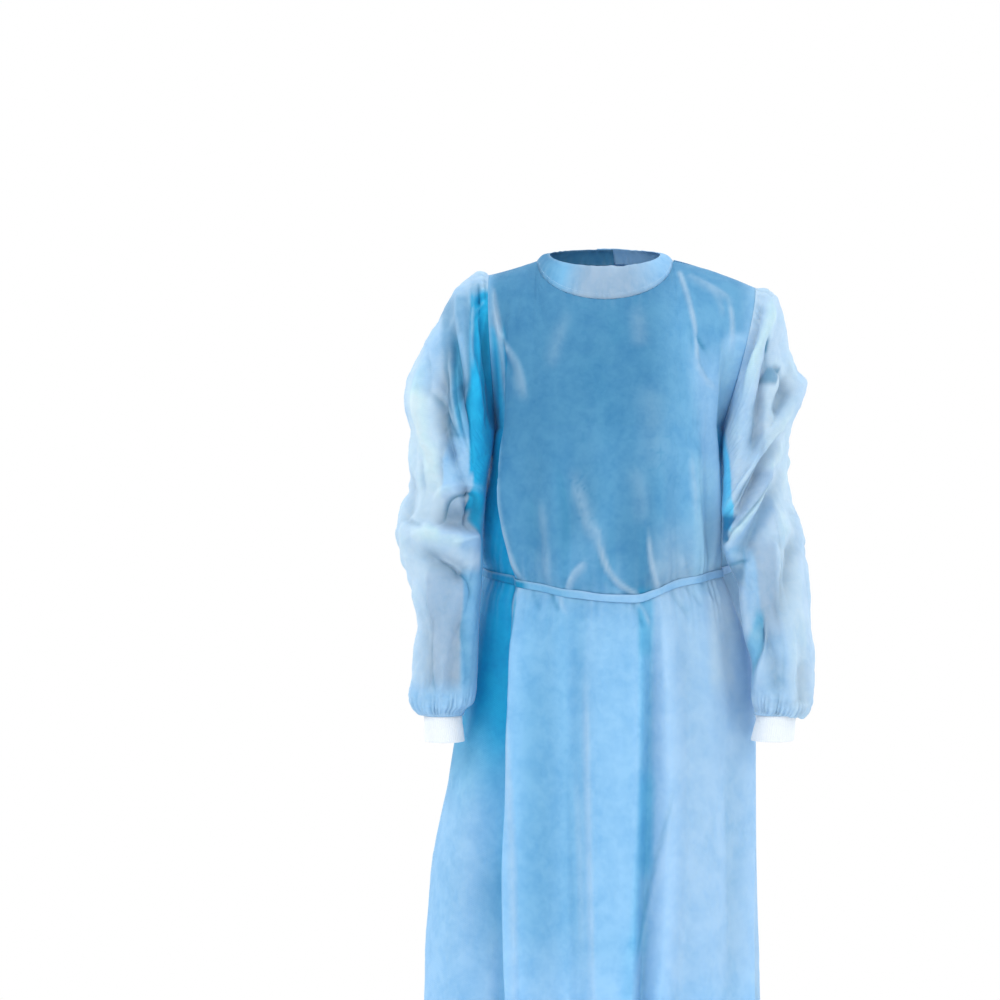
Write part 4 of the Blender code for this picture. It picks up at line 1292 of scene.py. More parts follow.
    def sheet(self, angle: Array, level: Array, lift: Union[float, Array] = 0.0) -> Array:
        """The body's sheet with its main folds, moved out by a lift.

        Args:
            angle: Turn from the centre front.
            level: 0 at the hem, 1 at the underarms and 2 at the top.
            lift: How far it is moved out.

        Returns:
            Its points.
        """
        angle, level = np.broadcast_arrays(np.asarray(angle, float), np.asarray(level, float))
        normal = outward(*slopes_of(self.plain, angle, level, TOP))
        out = self.main_relief(angle, level) + lift
        return self.plain(angle, level) + normal * out[..., None]

    def columns(self, level: Array, first: str, last: str) -> Array:
        """The angles of a panel's columns, which follow the fold lines between two of them.

        Args:
            level: The levels of its rows.
            first: Name of the fold line where it begins.
            last: Name of the one where it ends.

        Returns:
            Angles, rows by columns.
        """
        chosen = LINES[LINE_AT[first]:LINE_AT[last] + 1]
        angles = []
        for line, after in zip(chosen, chosen[1:]):
            start, end = self.line_angle(line, level), self.line_angle(after, level)
            angles.extend(mix(start, end, step / line.columns) for step in range(line.columns))
        angles.append(end)
        angles[0], angles[-1] = angles[0] + NUDGE, angles[-1] - NUDGE
        return np.stack(angles, axis=-1)

    def overlap_lift(self, angle: Array) -> Array:
        """The lift of the outer layer where the left back lies over the right back."""
        degrees = np.degrees(angle)
        return self.over * ease(degrees, *self.over_start) * ease(degrees, *self.over_end)

    def gathers(self, angle: Array, level: Array, x: Array) -> Array:
        """Gathers that die away from the belt, below the neck seam and along the hem.

        Args:
            angle: Turn from the centre front.
            level: The sheet's level.
            x: Places across.

        Returns:
            How far the cloth stands out, in metres.
        """
        girth, above = angle * self.radius, self.height_of(level) - BELT_Z
        up, down, past = self.gather_reach
        upwards = np.exp(-np.abs(above) / np.where(above > 0, up, past))
        downwards = np.exp(-np.abs(above) / np.where(above < 0, down, past))
        return (
            self.gathers_up.along(girth) * upwards
            + self.gathers_down.along(girth) * downwards
            + self.neck_gathers.along(x) * ease(level, 1.8, TOP) * bump(x, self.neck_reach)
            + self.hem_waves.along(girth) * bump(level, self.hem_reach)
        )

    def small_relief(self, angle: Array, level: Array, points: Array) -> tuple[Array, Array]:
        """Listed folds, gathers and soft crumples, which end at the seams.

        Args:
            angle: Turn from the centre front.
            level: The sheet's level.
            points: The sheet's plain points.

        Returns:
            How far the cloth stands out, in metres, and the shade and highlights painted on it.
        """
        x, z, height = points[..., 0], points[..., 2], self.height_of(level)
        girth, rise = angle * self.radius, np.clip(level - UNDERARM, 0, 1)
        relief, painted_light = np.zeros_like(x), np.zeros_like(x)
        front = (1, BODICE_FOLDS + SKIRT_FOLDS, self.least_fold)
        for sign, folds, least in (front, (-1, BACK_FOLDS, 0.0)):
            shown = ease(sign * np.cos(angle), 0.0, self.facing)
            for total, laid in zip((relief, painted_light), lay_folds(folds, x, z, least)):
                total += laid * shown
        gathers = self.gathers(angle, level, x)
        wide = crumple(girth, height * 0.62 + rise * 0.13, self.wide_facet, 3.7)
        fine = crumple(girth + 0.3 * height, height * 0.8 + rise * 0.2, self.fine_facet, 9.2)
        soft = self.wide_relief * (wide - FACET_MEAN) + self.fine_relief * (fine - FACET_MEAN)
        slow = np.sin(girth * 38 + 2.0 * np.sin(height * 9)) * np.sin(height * 6.3 + 1.1)
        across, along = self.crack_waves
        cracks = bump(fine, self.crack) * ease(across.along(girth) + along.along(height), -0.2, 0.8)
        relief = relief + gathers + soft + self.slow_relief * slow - self.crack_relief * cracks
        # Painted highlights on the gathers' ridges, painted shade in their hollows and along the
        # cracks above the belt
        painted_light = painted_light - GATHER_PAINTED_LIGHT * gathers + self.crack_shade * cracks * (height > BELT_Z)
        seam = ease(np.sqrt(np.maximum(1 - np.abs(np.sin(angle)), 0)), 0.0, self.seam_reach)
        seam = seam * (1 - self.belt_press * bump(height - BELT_Z, 0.008))
        return relief * seam * ease(level, TOP, TOP - self.top_reach), painted_light

    def tone(self, angle: Array, level: Array, points: Array, painted_light: Array) -> Array:
        """The cloth's colours: patches of painted light and shade, then painted shade in hollows
        and highlights on ridges, then the folds' painted shade and highlights.

        Args:
            angle: Turn from the centre front.
            level: The sheet's level.
            points: The sheet's plain points.
            painted_light: The shade and highlights painted along its small folds.

        Returns:
            Linear colours.
        """
        x, z = points[..., 0], points[..., 2]
        plain = Tone.SKY.over(points)
        above = ease(self.height_of(level), BELT_Z - 0.0015, BELT_Z + 0.0015)[..., None]
        before = lay_patches(mix(plain, Tone.SLATE.rgb, above), BODY_PATCHES, x, z)
        # the side cloth beyond the front's edges: painted shade, with patches of painted light
        side = lay_patches(Tone.TEAL.over(points), SIDE_PATCHES, x, z)
        right, left = (LINES[LINE_AT[name]] for name in ("right edge", "left edge"))
        beyond = np.maximum(
            self.line_angle(right, level) - angle, angle - self.line_angle(left, level)
        ) / self.side_turn
        before = mix(before, side, ease(beyond * ease(level, 1.5, UNDERARM))[..., None])
        behind = lay_patches(plain, BACK_PATCHES, x, z)
        colour = mix(behind, before, ease(np.cos(angle), *self.front_cosines)[..., None])
        relief = self.main_relief(angle, level)
        # painted shade in the main folds' hollows and highlights on their ridges, not on the side
        # cloth
        return with_painted_light(colour * self.shading.factor(relief, ease(beyond, 1.0, 0.0)), painted_light)

    def panel(self, panel: Panel, cloth: Material) -> Piece:
        """Makes one panel between its two fold lines.

        Args:
            panel: The panel's row.
            cloth: Its finish.

        Returns:
            The panel's object.
        """
        parts = [np.linspace(*part, endpoint=False) for part in self.row_levels]
        levels = np.concatenate([*parts, [TOP]])
        angle = self.columns(levels, panel.first, panel.last)
        level = np.broadcast_to(levels[:, None], angle.shape)
        plain = self.plain(angle, level)
        small, painted_light = self.small_relief(angle, level, plain)
        lift = small + (self.overlap_lift(angle) if panel.outer else 0.0)
        tone = self.tone(angle, level, plain, painted_light)
        grid = ClothGrid(f"{panel.node}_cloth", self.sheet(angle, level, lift), tone)
        made = grid.build(cloth, self.wall)
        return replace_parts(made, panel.node)

    def build(self, cloth: Material) -> list[Piece]:
        """Makes the three panels."""
        return [self.panel(panel, cloth) for panel in PANELS]


# ------ Sleeves and cuffs ------
class Row(NamedTuple):
    """A ring round the arm: its outer and inner points, and half its width front to back."""

    share: float
    outer_x: float
    outer_z: float
    inner_x: float
    inner_z: float
    outer_y: float
    inner_y: float
    depth: float


class Cuff(NamedTuple):
    """A cuff's middle at its top and foot, and its half widths."""

    top_x: float
    top_z: float
    foot_x: float
    foot_z: float
    y: float
    top_half: float
    foot_half: float
    depth: float


class Crease(NamedTuple):
    """A crease on a sleeve: angle 0 is its outer side, 90 its front, 180 next to the body."""

    angle_1: float
    share_1: float
    angle_2: float
    share_2: float
    depth: float
    width: float


SLEEVES = {
    "right": (
        Row(0.04, -0.168, -0.0145, -0.1455, -0.222, 0.005, -0.003, 0.061),
        Row(0.08, -0.190, -0.030, -0.1468, -0.231, 0.009, -0.010, 0.065),
        Row(0.12, -0.204, -0.050, -0.1482, -0.242, 0.014, -0.018, 0.067),
        Row(0.16, -0.217, -0.073, -0.1490, -0.252, 0.018, -0.028, 0.067),
        Row(0.21, -0.232, -0.098, -0.1490, -0.263, 0.020, -0.035, 0.066),
        Row(0.26, -0.248, -0.127, -0.1500, -0.273, 0.022, -0.040, 0.065),
        Row(0.32, -0.262, -0.163, -0.1510, -0.285, 0.022, -0.042, 0.063),
        Row(0.36, -0.262, -0.185, -0.1520, -0.296, 0.020, -0.044, 0.062),
        Row(0.41, -0.255, -0.217, -0.1530, -0.309, 0.016, -0.046, 0.061),
        Row(0.47, -0.256, -0.257, -0.1540, -0.322, 0.012, -0.047, 0.059),
        Row(0.53, -0.257, -0.298, -0.1550, -0.336, 0.006, -0.048, 0.059),
        Row(0.57, -0.268, -0.325, -0.1560, -0.350, 0.000, -0.050, 0.060),
        Row(0.61, -0.271, -0.348, -0.1560, -0.364, -0.006, -0.053, 0.060),
        Row(0.66, -0.264, -0.380, -0.1560, -0.384, -0.016, -0.058, 0.057),
        Row(0.71, -0.252, -0.412, -0.1570, -0.413, -0.030, -0.064, 0.052),
        Row(0.75, -0.247, -0.438, -0.1590, -0.442, -0.042, -0.069, 0.050),
        Row(0.79, -0.240, -0.463, -0.1600, -0.468, -0.052, -0.075, 0.048),
        Row(0.84, -0.244, -0.500, -0.1610, -0.502, -0.062, -0.080, 0.048),
        Row(0.89, -0.246, -0.535, -0.1620, -0.535, -0.072, -0.084, 0.047),
        Row(0.94, -0.248, -0.567, -0.1640, -0.562, -0.078, -0.086, 0.044),
        Row(0.97, -0.244, -0.581, -0.1690, -0.576, -0.082, -0.086, 0.040),
        Row(0.99, -0.236, -0.588, -0.1780, -0.583, -0.084, -0.085, 0.034),
    ),
    "left": (
        Row(0.04, 0.2100, -0.0340, 0.1560, -0.223, 0.005, -0.001, 0.061),
        Row(0.08, 0.2210, -0.042, 0.1552, -0.232, 0.008, -0.008, 0.065),
        Row(0.12, 0.2300, -0.057, 0.1550, -0.243, 0.013, -0.017, 0.067),
        Row(0.16, 0.2360, -0.080, 0.1540, -0.254, 0.017, -0.026, 0.067),
        Row(0.21, 0.2410, -0.110, 0.1530, -0.264, 0.020, -0.033, 0.066),
        Row(0.26, 0.2510, -0.136, 0.1520, -0.275, 0.022, -0.038, 0.065),
        Row(0.32, 0.2650, -0.158, 0.1510, -0.286, 0.024, -0.042, 0.063),
        Row(0.36, 0.2580, -0.182, 0.1510, -0.297, 0.024, -0.045, 0.062),
        Row(0.41, 0.2460, -0.210, 0.1500, -0.310, 0.023, -0.052, 0.061),
        Row(0.47, 0.2400, -0.243, 0.1490, -0.323, 0.020, -0.058, 0.060),
        Row(0.53, 0.2390, -0.281, 0.1500, -0.337, 0.015, -0.064, 0.059),
        Row(0.57, 0.2430, -0.309, 0.1495, -0.351, 0.008, -0.069, 0.058),
        Row(0.61, 0.2530, -0.335, 0.1490, -0.366, -0.001, -0.073, 0.056),
        Row(0.66, 0.2590, -0.372, 0.1555, -0.388, -0.012, -0.075, 0.054),
        Row(0.71, 0.2620, -0.412, 0.1690, -0.418, -0.024, -0.074, 0.052),
        Row(0.75, 0.2640, -0.446, 0.1720, -0.448, -0.034, -0.075, 0.050),
        Row(0.79, 0.2660, -0.483, 0.1770, -0.483, -0.044, -0.075, 0.048),
        Row(0.84, 0.2680, -0.518, 0.1860, -0.514, -0.052, -0.075, 0.047),
        Row(0.89, 0.2670, -0.550, 0.1860, -0.542, -0.060, -0.076, 0.045),
        Row(0.94, 0.2640, -0.577, 0.1860, -0.564, -0.066, -0.076, 0.041),
        Row(0.97, 0.2575, -0.588, 0.1880, -0.577, -0.070, -0.075, 0.037),
        Row(0.99, 0.2490, -0.593, 0.1905, -0.584, -0.073, -0.074, 0.033),
    ),
}
CUFFS = {
    "right": Cuff(-0.2065, -0.574, -0.2025, -0.614, -0.084, 0.0225, 0.0245, 0.0285),
    "left": Cuff(0.2180, -0.574, 0.2130, -0.614, -0.074, 0.0235, 0.0265, 0.0285),
}
SLEEVE_CREASES = {
    "right": (
        Crease(36, 0.03, 140, 0.022, -0.01, 0.011), Crease(24, 0.08, 128, 0.095, 0.01, 0.013),
        Crease(40, 0.14, 122, 0.17, -0.015, 0.013), Crease(60, 0.19, 112, 0.4, -0.016, 0.015),
        Crease(112, 0.4, 165, 0.57, -0.014, 0.014), Crease(36, 0.22, 78, 0.47, 0.009, 0.018),
        Crease(72, 0.56, 156, 0.535, -0.017, 0.014), Crease(60, 0.6, 165, 0.595, 0.01, 0.013),
        Crease(52, 0.65, 140, 0.7, -0.016, 0.013), Crease(14, 0.5, 46, 0.58, -0.009, 0.014),
        Crease(48, 0.76, 60, 0.93, -0.009, 0.014), Crease(122, 0.75, 108, 0.94, -0.01, 0.014),
        Crease(285, 0.12, 250, 0.46, -0.013, 0.018), Crease(330, 0.62, 215, 0.58, -0.014, 0.018),
        Crease(300, 0.71, 220, 0.75, -0.012, 0.016),
    ),
    "left": (
        Crease(40, 0.025, 140, 0.022, -0.007, 0.011), Crease(28, 0.08, 118, 0.085, 0.008, 0.014),
        Crease(38, 0.255, 80, 0.305, -0.016, 0.013), Crease(70, 0.12, 116, 0.35, -0.013, 0.015),
        Crease(56, 0.4, 136, 0.54, -0.015, 0.013), Crease(60, 0.46, 150, 0.61, 0.011, 0.013),
        Crease(48, 0.51, 152, 0.68, -0.015, 0.013), Crease(36, 0.62, 92, 0.78, -0.012, 0.015),
        Crease(132, 0.72, 100, 0.93, -0.012, 0.015), Crease(56, 0.82, 46, 0.95, -0.009, 0.013),
        Crease(280, 0.12, 248, 0.46, -0.013, 0.018), Crease(325, 0.6, 215, 0.58, -0.014, 0.018),
        Crease(300, 0.71, 225, 0.75, -0.012, 0.016),
    ),
}
SLEEVE_FOLDS = {
    "right": (
        # Gathers at the sleeve's head
        Fold(-163, -32, -162, -46, -161, -62, -2.4, 1.6, 1.8, 0.8, 0, 0.55),
        Fold(-172, -38, -171, -50, -170, -66, -2, 1.6, 1.8, 0.8, 0, 0.4),
        Fold(-154, -28, -153, -42, -151, -60, -2.2, 1.6, 2.2, 0.8, 0.3, 0.5),
        # The deep strip next to the body, in painted shade
        Fold(-171, -40, -170, -93, -174, -182, 2, 1.8, 3, 0.8, 0.1, -0.4),
        Fold(-172, -60, -172, -157, -167, -262, -3.2, 1.5, 2.2, 0.7, 0.4, 0.5),
        Fold(-155, -70, -155, -150, -151, -250, -2.2, 2, 3, 0.3, 0.5, 0.45),
        Fold(-149, -64, -150, -150, -147, -215, -4, 2.4, 3, 0.3, 0.5, 0.9),
        # Diagonals of the upper arm
        Fold(-201, -94, -192, -169, -171, -252, -3.4, 1.4, 2.4, 0.3, 0.3, 0.62),
        Fold(-205, -100, -197, -172, -176, -255, 2.4, 4, 1.6, 0.2, 0.1, -0.3),
        Fold(-226, -168, -206, -196, -181, -240, -2.8, 1.6, 3.5, 0.2, 0.1, 0.34),
        Fold(-222, -158, -206, -184, -184, -226, 1.8, 3, 2, 0.1, 0.1, -0.3),
        Fold(-230, -108, -224, -150, -232, -190, -1.8, 1.8, 3, 0.1, 0, 0.16),
        # Round the elbow
        Fold(-212, -337, -199, -311, -178, -303, -4.5, 2.6, 1.5, 0.3, 1, 0.55),
        Fold(-178, -303, -160, -308, -157, -350, -4, 1.8, 3, 1, 0.3, 0.6),
        Fold(-222, -318, -196, -292, -158, -294, 4, 4, 5, 0.1, 0.4, -0.28),
        Fold(-196, -366, -178, -360, -156, -352, 3.4, 3, 4, 0.1, 0.4, -0.36),
        # Below the elbow
        Fold(-219, -386, -203, -391, -186, -401, -3.6, 1.4, 2.6, 0.5, 1, 0.5),
        Fold(-186, -401, -172, -411, -170, -440, -3.2, 2.4, 1.6, 1, 0.2, 0.42),
        Fold(-220, -381, -196, -388, -170, -402, 2.6, 2, 4, 0.3, 0.3, -0.36),
        Fold(-262, -330, -246, -338, -228, -342, -3, 3, 4, 0.2, 0, 0.12),
        Fold(-262, -378, -244, -384, -222, -386, 1.8, 2, 3, 0.3, 0.5, -0.24),
        # The upper arm's panel
        Fold(-208, -226, -208, -260, -206, -296, -1.8, 1.4, 4, 0.1, 0.1, 0.2),
        Fold(-206, -226, -190, -226, -174, -232, -1.8, 2, 3, 0.4, 0.4, 0.18),
        Fold(-236, -250, -232, -280, -230, -302, -2, 3, 3, 0, 0.2, 0.14),
        # The forearm
        Fold(-226, -398, -227, -470, -218, -548, -1.6, 1.4, 4, 0.2, 0.3, 0.18),
        Fold(-222, -470, -220, -520, -212, -548, -1.8, 1.6, 3, 0.1, 0.4, 0.34),
        Fold(-232, -430, -226, -490, -220, -545, 1.8, 3, 2, 0.1, 0.4, -0.3),
        Fold(-184, -450, -172, -500, -174, -560, -1.8, 5, 3, 0, 0.4, 0.18),
        Fold(-206, -500, -204, -530, -208, -574, 1.6, 3, 4, 0, 0.8, -0.14),
        Fold(-232, -560, -233, -540, -234, -520, 1.8, 2, 2, 0.3, 0.1, -0.4),
    ),
    "left": (
        # Next to the body, and the diagonals above the elbow
        Fold(148, -214, 146, -270, 145, -334, -4, 3, 3, 0.2, 0.3, 0.4),
        Fold(205, -250, 180, -286, 150, -332, -3.4, 1.6, 2.2, 0.3, 0.4, 0.42),
        Fold(201, -244, 176, -280, 152, -318, 2.4, 3.5, 2, 0.1, 0.3, -0.3),
        Fold(202, -268, 178, -304, 158, -336, 2, 3, 4, 0.1, 0.3, -0.12),
        Fold(207, -284, 190, -313, 146, -370, -4, 1.6, 2.2, 0.3, 0.6, 0.5),
        Fold(206, -294, 188, -326, 150, -376, 2.8, 2, 4, 0.1, 0.8, -0.34),
        # The light band below them
        Fold(146, -382, 160, -381, 182, -372, 2.6, 4, 5, 0.6, 0.1, -0.24),
        Fold(146, -392, 160, -391, 186, -382, -3, 2, 2, 0.8, 0, 0.5),
        # The upper arm, and the elbow's point
        Fold(206, -100, 207, -112, 206, -124, -3, 2.2, 2.4, 0.4, 0.3, 0.95),
        Fold(205, -122, 210, -140, 214, -166, -1.6, 1.6, 2.6, 0.4, 0, 0.2),
        Fold(212, -84, 206, -98, 204, -116, 1.6, 2, 3, 0.2, 0.4, -0.26),
        Fold(212, -132, 226, -150, 238, -166, -3.4, 3, 4, 0.1, 0.1, 0.16),
        Fold(236, -118, 247, -148, 256, -158, 2.2, 4, 3, 0, 0.4, -0.14),
        Fold(236, -176, 226, -222, 224, -280, 2, 3, 5, 0.1, 0.1, -0.24),
        Fold(230, -196, 220, -236, 218, -286, -1.8, 3, 3, 0.1, 0.1, 0.14),
        Fold(189, -168, 190, -210, 186, -246, -1.4, 1.6, 5, 0.1, 0.1, 0.16),
        Fold(178, -130, 172, -200, 168, -262, 1.6, 5, 6, 0, 0, -0.14),
        # The strip on the outer side
        Fold(216, -301, 228, -366, 234, -452, 2.2, 1.6, 3.5, 0.4, 0.4, -0.42),
        Fold(212, -304, 224, -368, 229, -450, -1.8, 3.5, 1.6, 0.2, 0.3, 0.16),
        Fold(234, -452, 240, -500, 238, -560, 1.8, 2, 3, 0.4, 0.4, -0.26),
        # The forearm
        Fold(200, -458, 192, -500, 184, -536, -3, 3, 1.6, 0.3, 0.4, 0.34),
        Fold(204, -456, 197, -504, 189, -544, 1.8, 1.6, 3, 0.1, 0.3, -0.26),
        Fold(222, -470, 226, -510, 224, -552, -1.6, 2, 3, 0, 0.3, 0.12),
        Fold(234, -318, 244, -326, 258, -330, -2.4, 3, 4, 0, 0.3, 0.1),
        Fold(218, -548, 216, -566, 214, -582, -1.6, 2, 3, 0.1, 1, 0.14),
    ),
}
# Patches on the sleeves' fronts: mostly painted light and shade; the grey ones stand for the arm
# inside
SLEEVE_PATCHES = {
    "right": (
        # The upper arm
        Patch(-190, -66, 30, 44, 0.4, 22, Tone.SKY, 0.45),
        Patch(-190, -140, 20, 96, -0.04, 8, Tone.SLATE, 0.75),
        Patch(-186, -170, 9, 70, -0.12, 8, Tone.CYAN, 0.6),
        Patch(-232, -150, 14, 70, 0.3, 12, Tone.SKY, 0.45),
        Patch(-179, -170, 5, 70, -0.05, 4, Tone.SKY, 0.45),
        Patch(-202, -196, 9, 40, 0.62, 5, Tone.SLATE, 0.6),
        # The elbow
        Patch(-186, -262, 20, 34, 0, 6, Tone.SKY, 0.85),
        Patch(-184, -330, 24, 22, 0, 10, Tone.GREY, 0.75),
        Patch(-244, -345, 32, 60, 0, 30, Tone.WHITE, 0.6),
        Patch(-231, -250, 22, 80, -0.05, 7, Tone.WHITE, 0.9),
        # The forearm
        Patch(-168, -362, 14, 12, 0, 8, Tone.MID, 0.45),
        Patch(-199, -480, 27, 80, 0, 6, Tone.GREY, 0.8),
        Patch(-166, -480, 12, 84, 0, 6, Tone.MID, 0.9),
        Patch(-200, -564, 46, 22, 0, 10, Tone.SKY, 0.85),
        # The deep strip next to the body: painted shade
        Patch(-162, -160, 10, 116, 0, 4, Tone.CYAN, 1),
        Patch(-166, -90, 8, 60, 0, 6, Tone.TEAL, 0.45),
        Patch(-152, -230, 9, 190, -0.02, 4, Tone.CYAN, 1),
        Patch(-157, -280, 10, 44, 0.03, 4, Tone.CYAN, 1),
        Patch(-148, -140, 4, 70, 0, 3, Tone.TEAL, 0.8),
    ),
    "left": (
        # The upper arm
        Patch(180, -180, 14, 90, -0.1, 14, Tone.SKY, 0.3),
        Patch(197, -212, 8, 38, 0.05, 6, Tone.GREY, 0.5),
        Patch(226, -200, 20, 70, 0.05, 6, Tone.WHITE, 0.8),
        Patch(214, -150, 8, 11, 0.35, 3, Tone.SLATE, 0.75),
        # Round the elbow
        Patch(180, -308, 11, 36, 0.7, 5, Tone.GREY, 0.8),
        Patch(186, -345, 14, 36, 0.7, 12, Tone.SKY, 0.7),
        # The forearm
        Patch(204, -425, 16, 64, -0.08, 9, Tone.GREY, 0.8),
        Patch(184, -420, 9, 50, -0.1, 7, Tone.SKY, 0.7),
        Patch(238, -420, 13, 150, -0.06, 4, Tone.WHITE, 0.8),
        Patch(214, -530, 22, 60, 0, 20, Tone.SKY, 0.45),
        Patch(185, -500, 8, 50, 0.16, 7, Tone.CYAN, 0.6),
        # Next to the body: painted shade
        Patch(160, -380, 17, 12, 0, 6, Tone.MID, 0.6),
        Patch(160, -404, 14, 14, 0, 8, Tone.DEEP, 0.7),
        Patch(150, -286, 10, 62, -0.03, 3, Tone.AQUA, 0.9),
        Patch(152, -346, 8, 18, 0.35, 4, Tone.DEEP, 0.9),
    ),
}
PHASES = {"right": 0.3, "left": 2.6}  # starts that make one sleeve's crumples unlike the other's
PUFFS = {"right": 0.0030, "left": 0.0}  # how far a sleeve's head swells below its seam


@dataclass
class Sleeve:
    """One sleeve, from its armhole to its gathered end, with its knitted cuff."""

    side: str
    body: GownBody
    wall: float = 0.0005
    knit_wall: float = 0.0018
    start_y: float = 0.003
    start_depth: float = 0.058
    blend: float = 0.12  # share over which the armhole's form turns into the sleeve's own
    off_body: tuple = (0.0020, 0.0003)  # how far it stands off the body, at underarm and tip
    roundness: float = 0.92
    fit: float = 0.0016  # between the cuff and the sleeve's end
    end_z: float = -0.590
    rise: float = 0.009  # how far its gathered end is pushed up the cuff
    tuck: float = 0.0042  # how far its inner side swells towards the body below the underarm
    radius: float = 0.055  # of its mean girth
    length: float = 0.62
    elbow: float = 0.60  # share of its length
    wide_facet: float = 0.040
    fine_facet: float = 0.017
    wide_relief: tuple = (0.0026, 0.0012)  # everywhere, and more of it at the elbow
    fine_relief: float = 0.0010
    shading: Shading = Shading(0.014, 0.6, 1.0, 0.24)
    brightest: float = 0.96
    rows: int = 268
    front_columns: int = 112  # round its front half
    back_columns: int = 46
    ribs: int = 56  # of the cuff, all round
    rib_columns: int = 8
    rib_height: float = 0.0005
    uneven: float = 0.0005  # how far the cuff leaves its ellipse
    pinch: float = 0.0006  # how far it is drawn in near its middle
    layer_rows: int = 13  # of one of the cuff's two layers

    @property
    def armhole(self) -> Armhole:
        """The armhole it is sewn into."""
        return ARMHOLES[self.side]

    def seam_rise(self, angle: Array) -> Array:
        """How high the armhole is at an angle: 0 at the underarm and 1 at the shoulder tip."""
        return np.abs(1 - np.mod(angle, TURN) / math.pi)

    def armhole_ring(self, angle: Array) -> Array:
        """The edge of the armhole.

        Args:
            angle: Turn round the sleeve: 0 at the shoulder tip, a quarter at the front.

        Returns:
            Its points.
        """
        side, behind = self.armhole.side, np.mod(angle, TURN) >= math.pi
        quarter = side * math.pi / 2 + TURN * (behind & (side < 0))
        inwards = np.where(behind, NUDGE, -NUDGE) * side
        return self.body.plain(quarter + inwards, UNDERARM + self.seam_rise(angle))

    def ring(self, size: Row, angle: Array) -> Array:
        """A ring between its outer and its inner point, rounded to its depth.

        Args:
            size: The ring's row.
            angle: Turn from the outer side towards the front.

        Returns:
            Its points.
        """
        across = (1 + np.cos(angle)) / 2
        ends = ((getattr(size, f"inner_{axis}"), getattr(size, f"outer_{axis}")) for axis in "xyz")
        x, y, z = (mix(inner, outer, across) for inner, outer in ends)
        return np.stack([x, y - size.depth * power(np.sin(angle), self.roundness), z], axis=-1)

    def table(self) -> tuple[Row, ...]:
        """The sleeve's rows with its first ring, the armhole, and its last, round the cuff.

        Returns:
            The rows, by their share of the sleeve's length.
        """
        rows, cuff, hole = SLEEVES[self.side], CUFFS[self.side], self.armhole
        start = Row(0.0, hole.tip_x, hole.tip_z, rows[0].inner_x, UNDERARM_Z,
                    self.start_y, self.start_y, self.start_depth)
        out = self.knit_wall / 2 + self.fit
        share = (cuff.top_z - self.end_z) / (cuff.top_z - cuff.foot_z)
        x = mix(cuff.top_x, cuff.foot_x, share)
        half = hole.side * (mix(cuff.top_half, cuff.foot_half, share) + out)
        end = Row(1.0, x + half, self.end_z, x - half, self.end_z, cuff.y, cuff.y, cuff.depth + out)
        return (start, *rows, end)

    def plain(self, angle: Array, share: Array) -> Array:
        """The sleeve's sheet without creases.

        Args:
            angle: Turn round the sleeve.
            share: Share of its length: 0 at the armhole and 1 at the cuff.

        Returns:
            Its points.
        """
        angle, share = np.broadcast_arrays(np.asarray(angle, float), np.asarray(share, float))
        rows = self.table()
        ring, first = self.ring(row_at(rows, share), angle), self.ring(rows[0], angle)
        edge = self.armhole_ring(angle)
        hang = mix(*self.off_body, self.seam_rise(angle)) * ease(share, 0.0, 0.03)
        edge[..., 0] += self.armhole.side * hang
        ring[..., 2] += self.rise * ease(share, 0.86, 0.98)
        return ring + (edge - first) * ease(share, self.blend, 0.0)[..., None]

    def crease(
        self, crease: Crease, angle: Array, share: Array, girth: Array, length: Array
    ) -> Array:
        """One crease: depth * exp(-(distance / width)^2) from its line, weaker at both ends.

        Args:
            crease: The crease.
            angle: Turn round the sleeve.
            share: Share of its length.
            girth: Metres for each radian.
            length: Metres for the whole share.

        Returns:
            How far the cloth stands out.
        """
        start, end = math.radians(crease.angle_1), math.radians(crease.angle_2)
        middle = (start + end) / 2
        turned = np.mod(angle - middle + math.pi, TURN) - math.pi + middle
        across, down = (turned - start) * girth, (share - crease.share_1) * length
        line_across, line_down = (end - start) * girth, (crease.share_2 - crease.share_1) * length
        along = (across * line_across + down * line_down) / (line_across**2 + line_down**2)
        along = np.clip(along, 0.0, 1.0)
        off = np.hypot(across - along * line_across, down - along * line_down)
        strength = mix(0.25, 1.0, ease(along, 0.0, 0.25) * ease(along, 1.0, 0.75))
        return crease.depth * strength * bump(off, crease.width)

    def gathers(self, angle: Array, share: Array) -> Array:
        """The gathers at the sleeve's head and, finer, at its end.

        Args:
            angle: Turn round the sleeve.
            share: Share of its length.

        Returns:
            How far the cloth stands out, in metres.
        """
        place, phase = angle * self.radius, PHASES[self.side]
        head, end = Wave(0.0016, 0.0125, phase), Wave(0.0021, 0.0088, phase + 1)
        upper = bump(share, 0.05) * ease(share, 0.0, 0.012) * ease(np.cos(angle), -0.18, 0.42)
        lower = ease(share, 0.90, 0.99) * ease(share, 1.002, 0.992)
        return head.along(place) * upper + end.along(place) * lower

    def crumples(self, angle: Array, share: Array, front: Array) -> Array:
        """Facets all over, and folds across the elbow, both more behind than in front.

        Args:
            angle: Turn round the sleeve.
            share: Share of its length.
            front: 1 in front, 0 behind.

        Returns:
            How far the cloth stands out.
        """
        turn, run, phase = angle * self.radius, share * self.length, PHASES[self.side]
        elbow = bump(share - self.elbow, 0.17)
        wide = crumple(turn, run * 0.8 + 0.35 * turn, self.wide_facet, phase + 4) - 0.42
        fine = crumple(turn + 0.6 * run, run, self.fine_facet, phase + 8) - FACET_MEAN
        every, more = self.wide_relief
        soft = (every + more * elbow) * (1.6 - 0.6 * front) * wide + self.fine_relief * fine
        slanted = run + 0.25 * turn + 0.008 * np.sin(turn * 60)
        folds = Wave(0.0024, 0.034, phase).along(slanted) * elbow * mix(1.0, 0.08, front)
        return (soft + folds) * (1 - bump(np.mod(angle, TURN) - math.pi, 0.55))

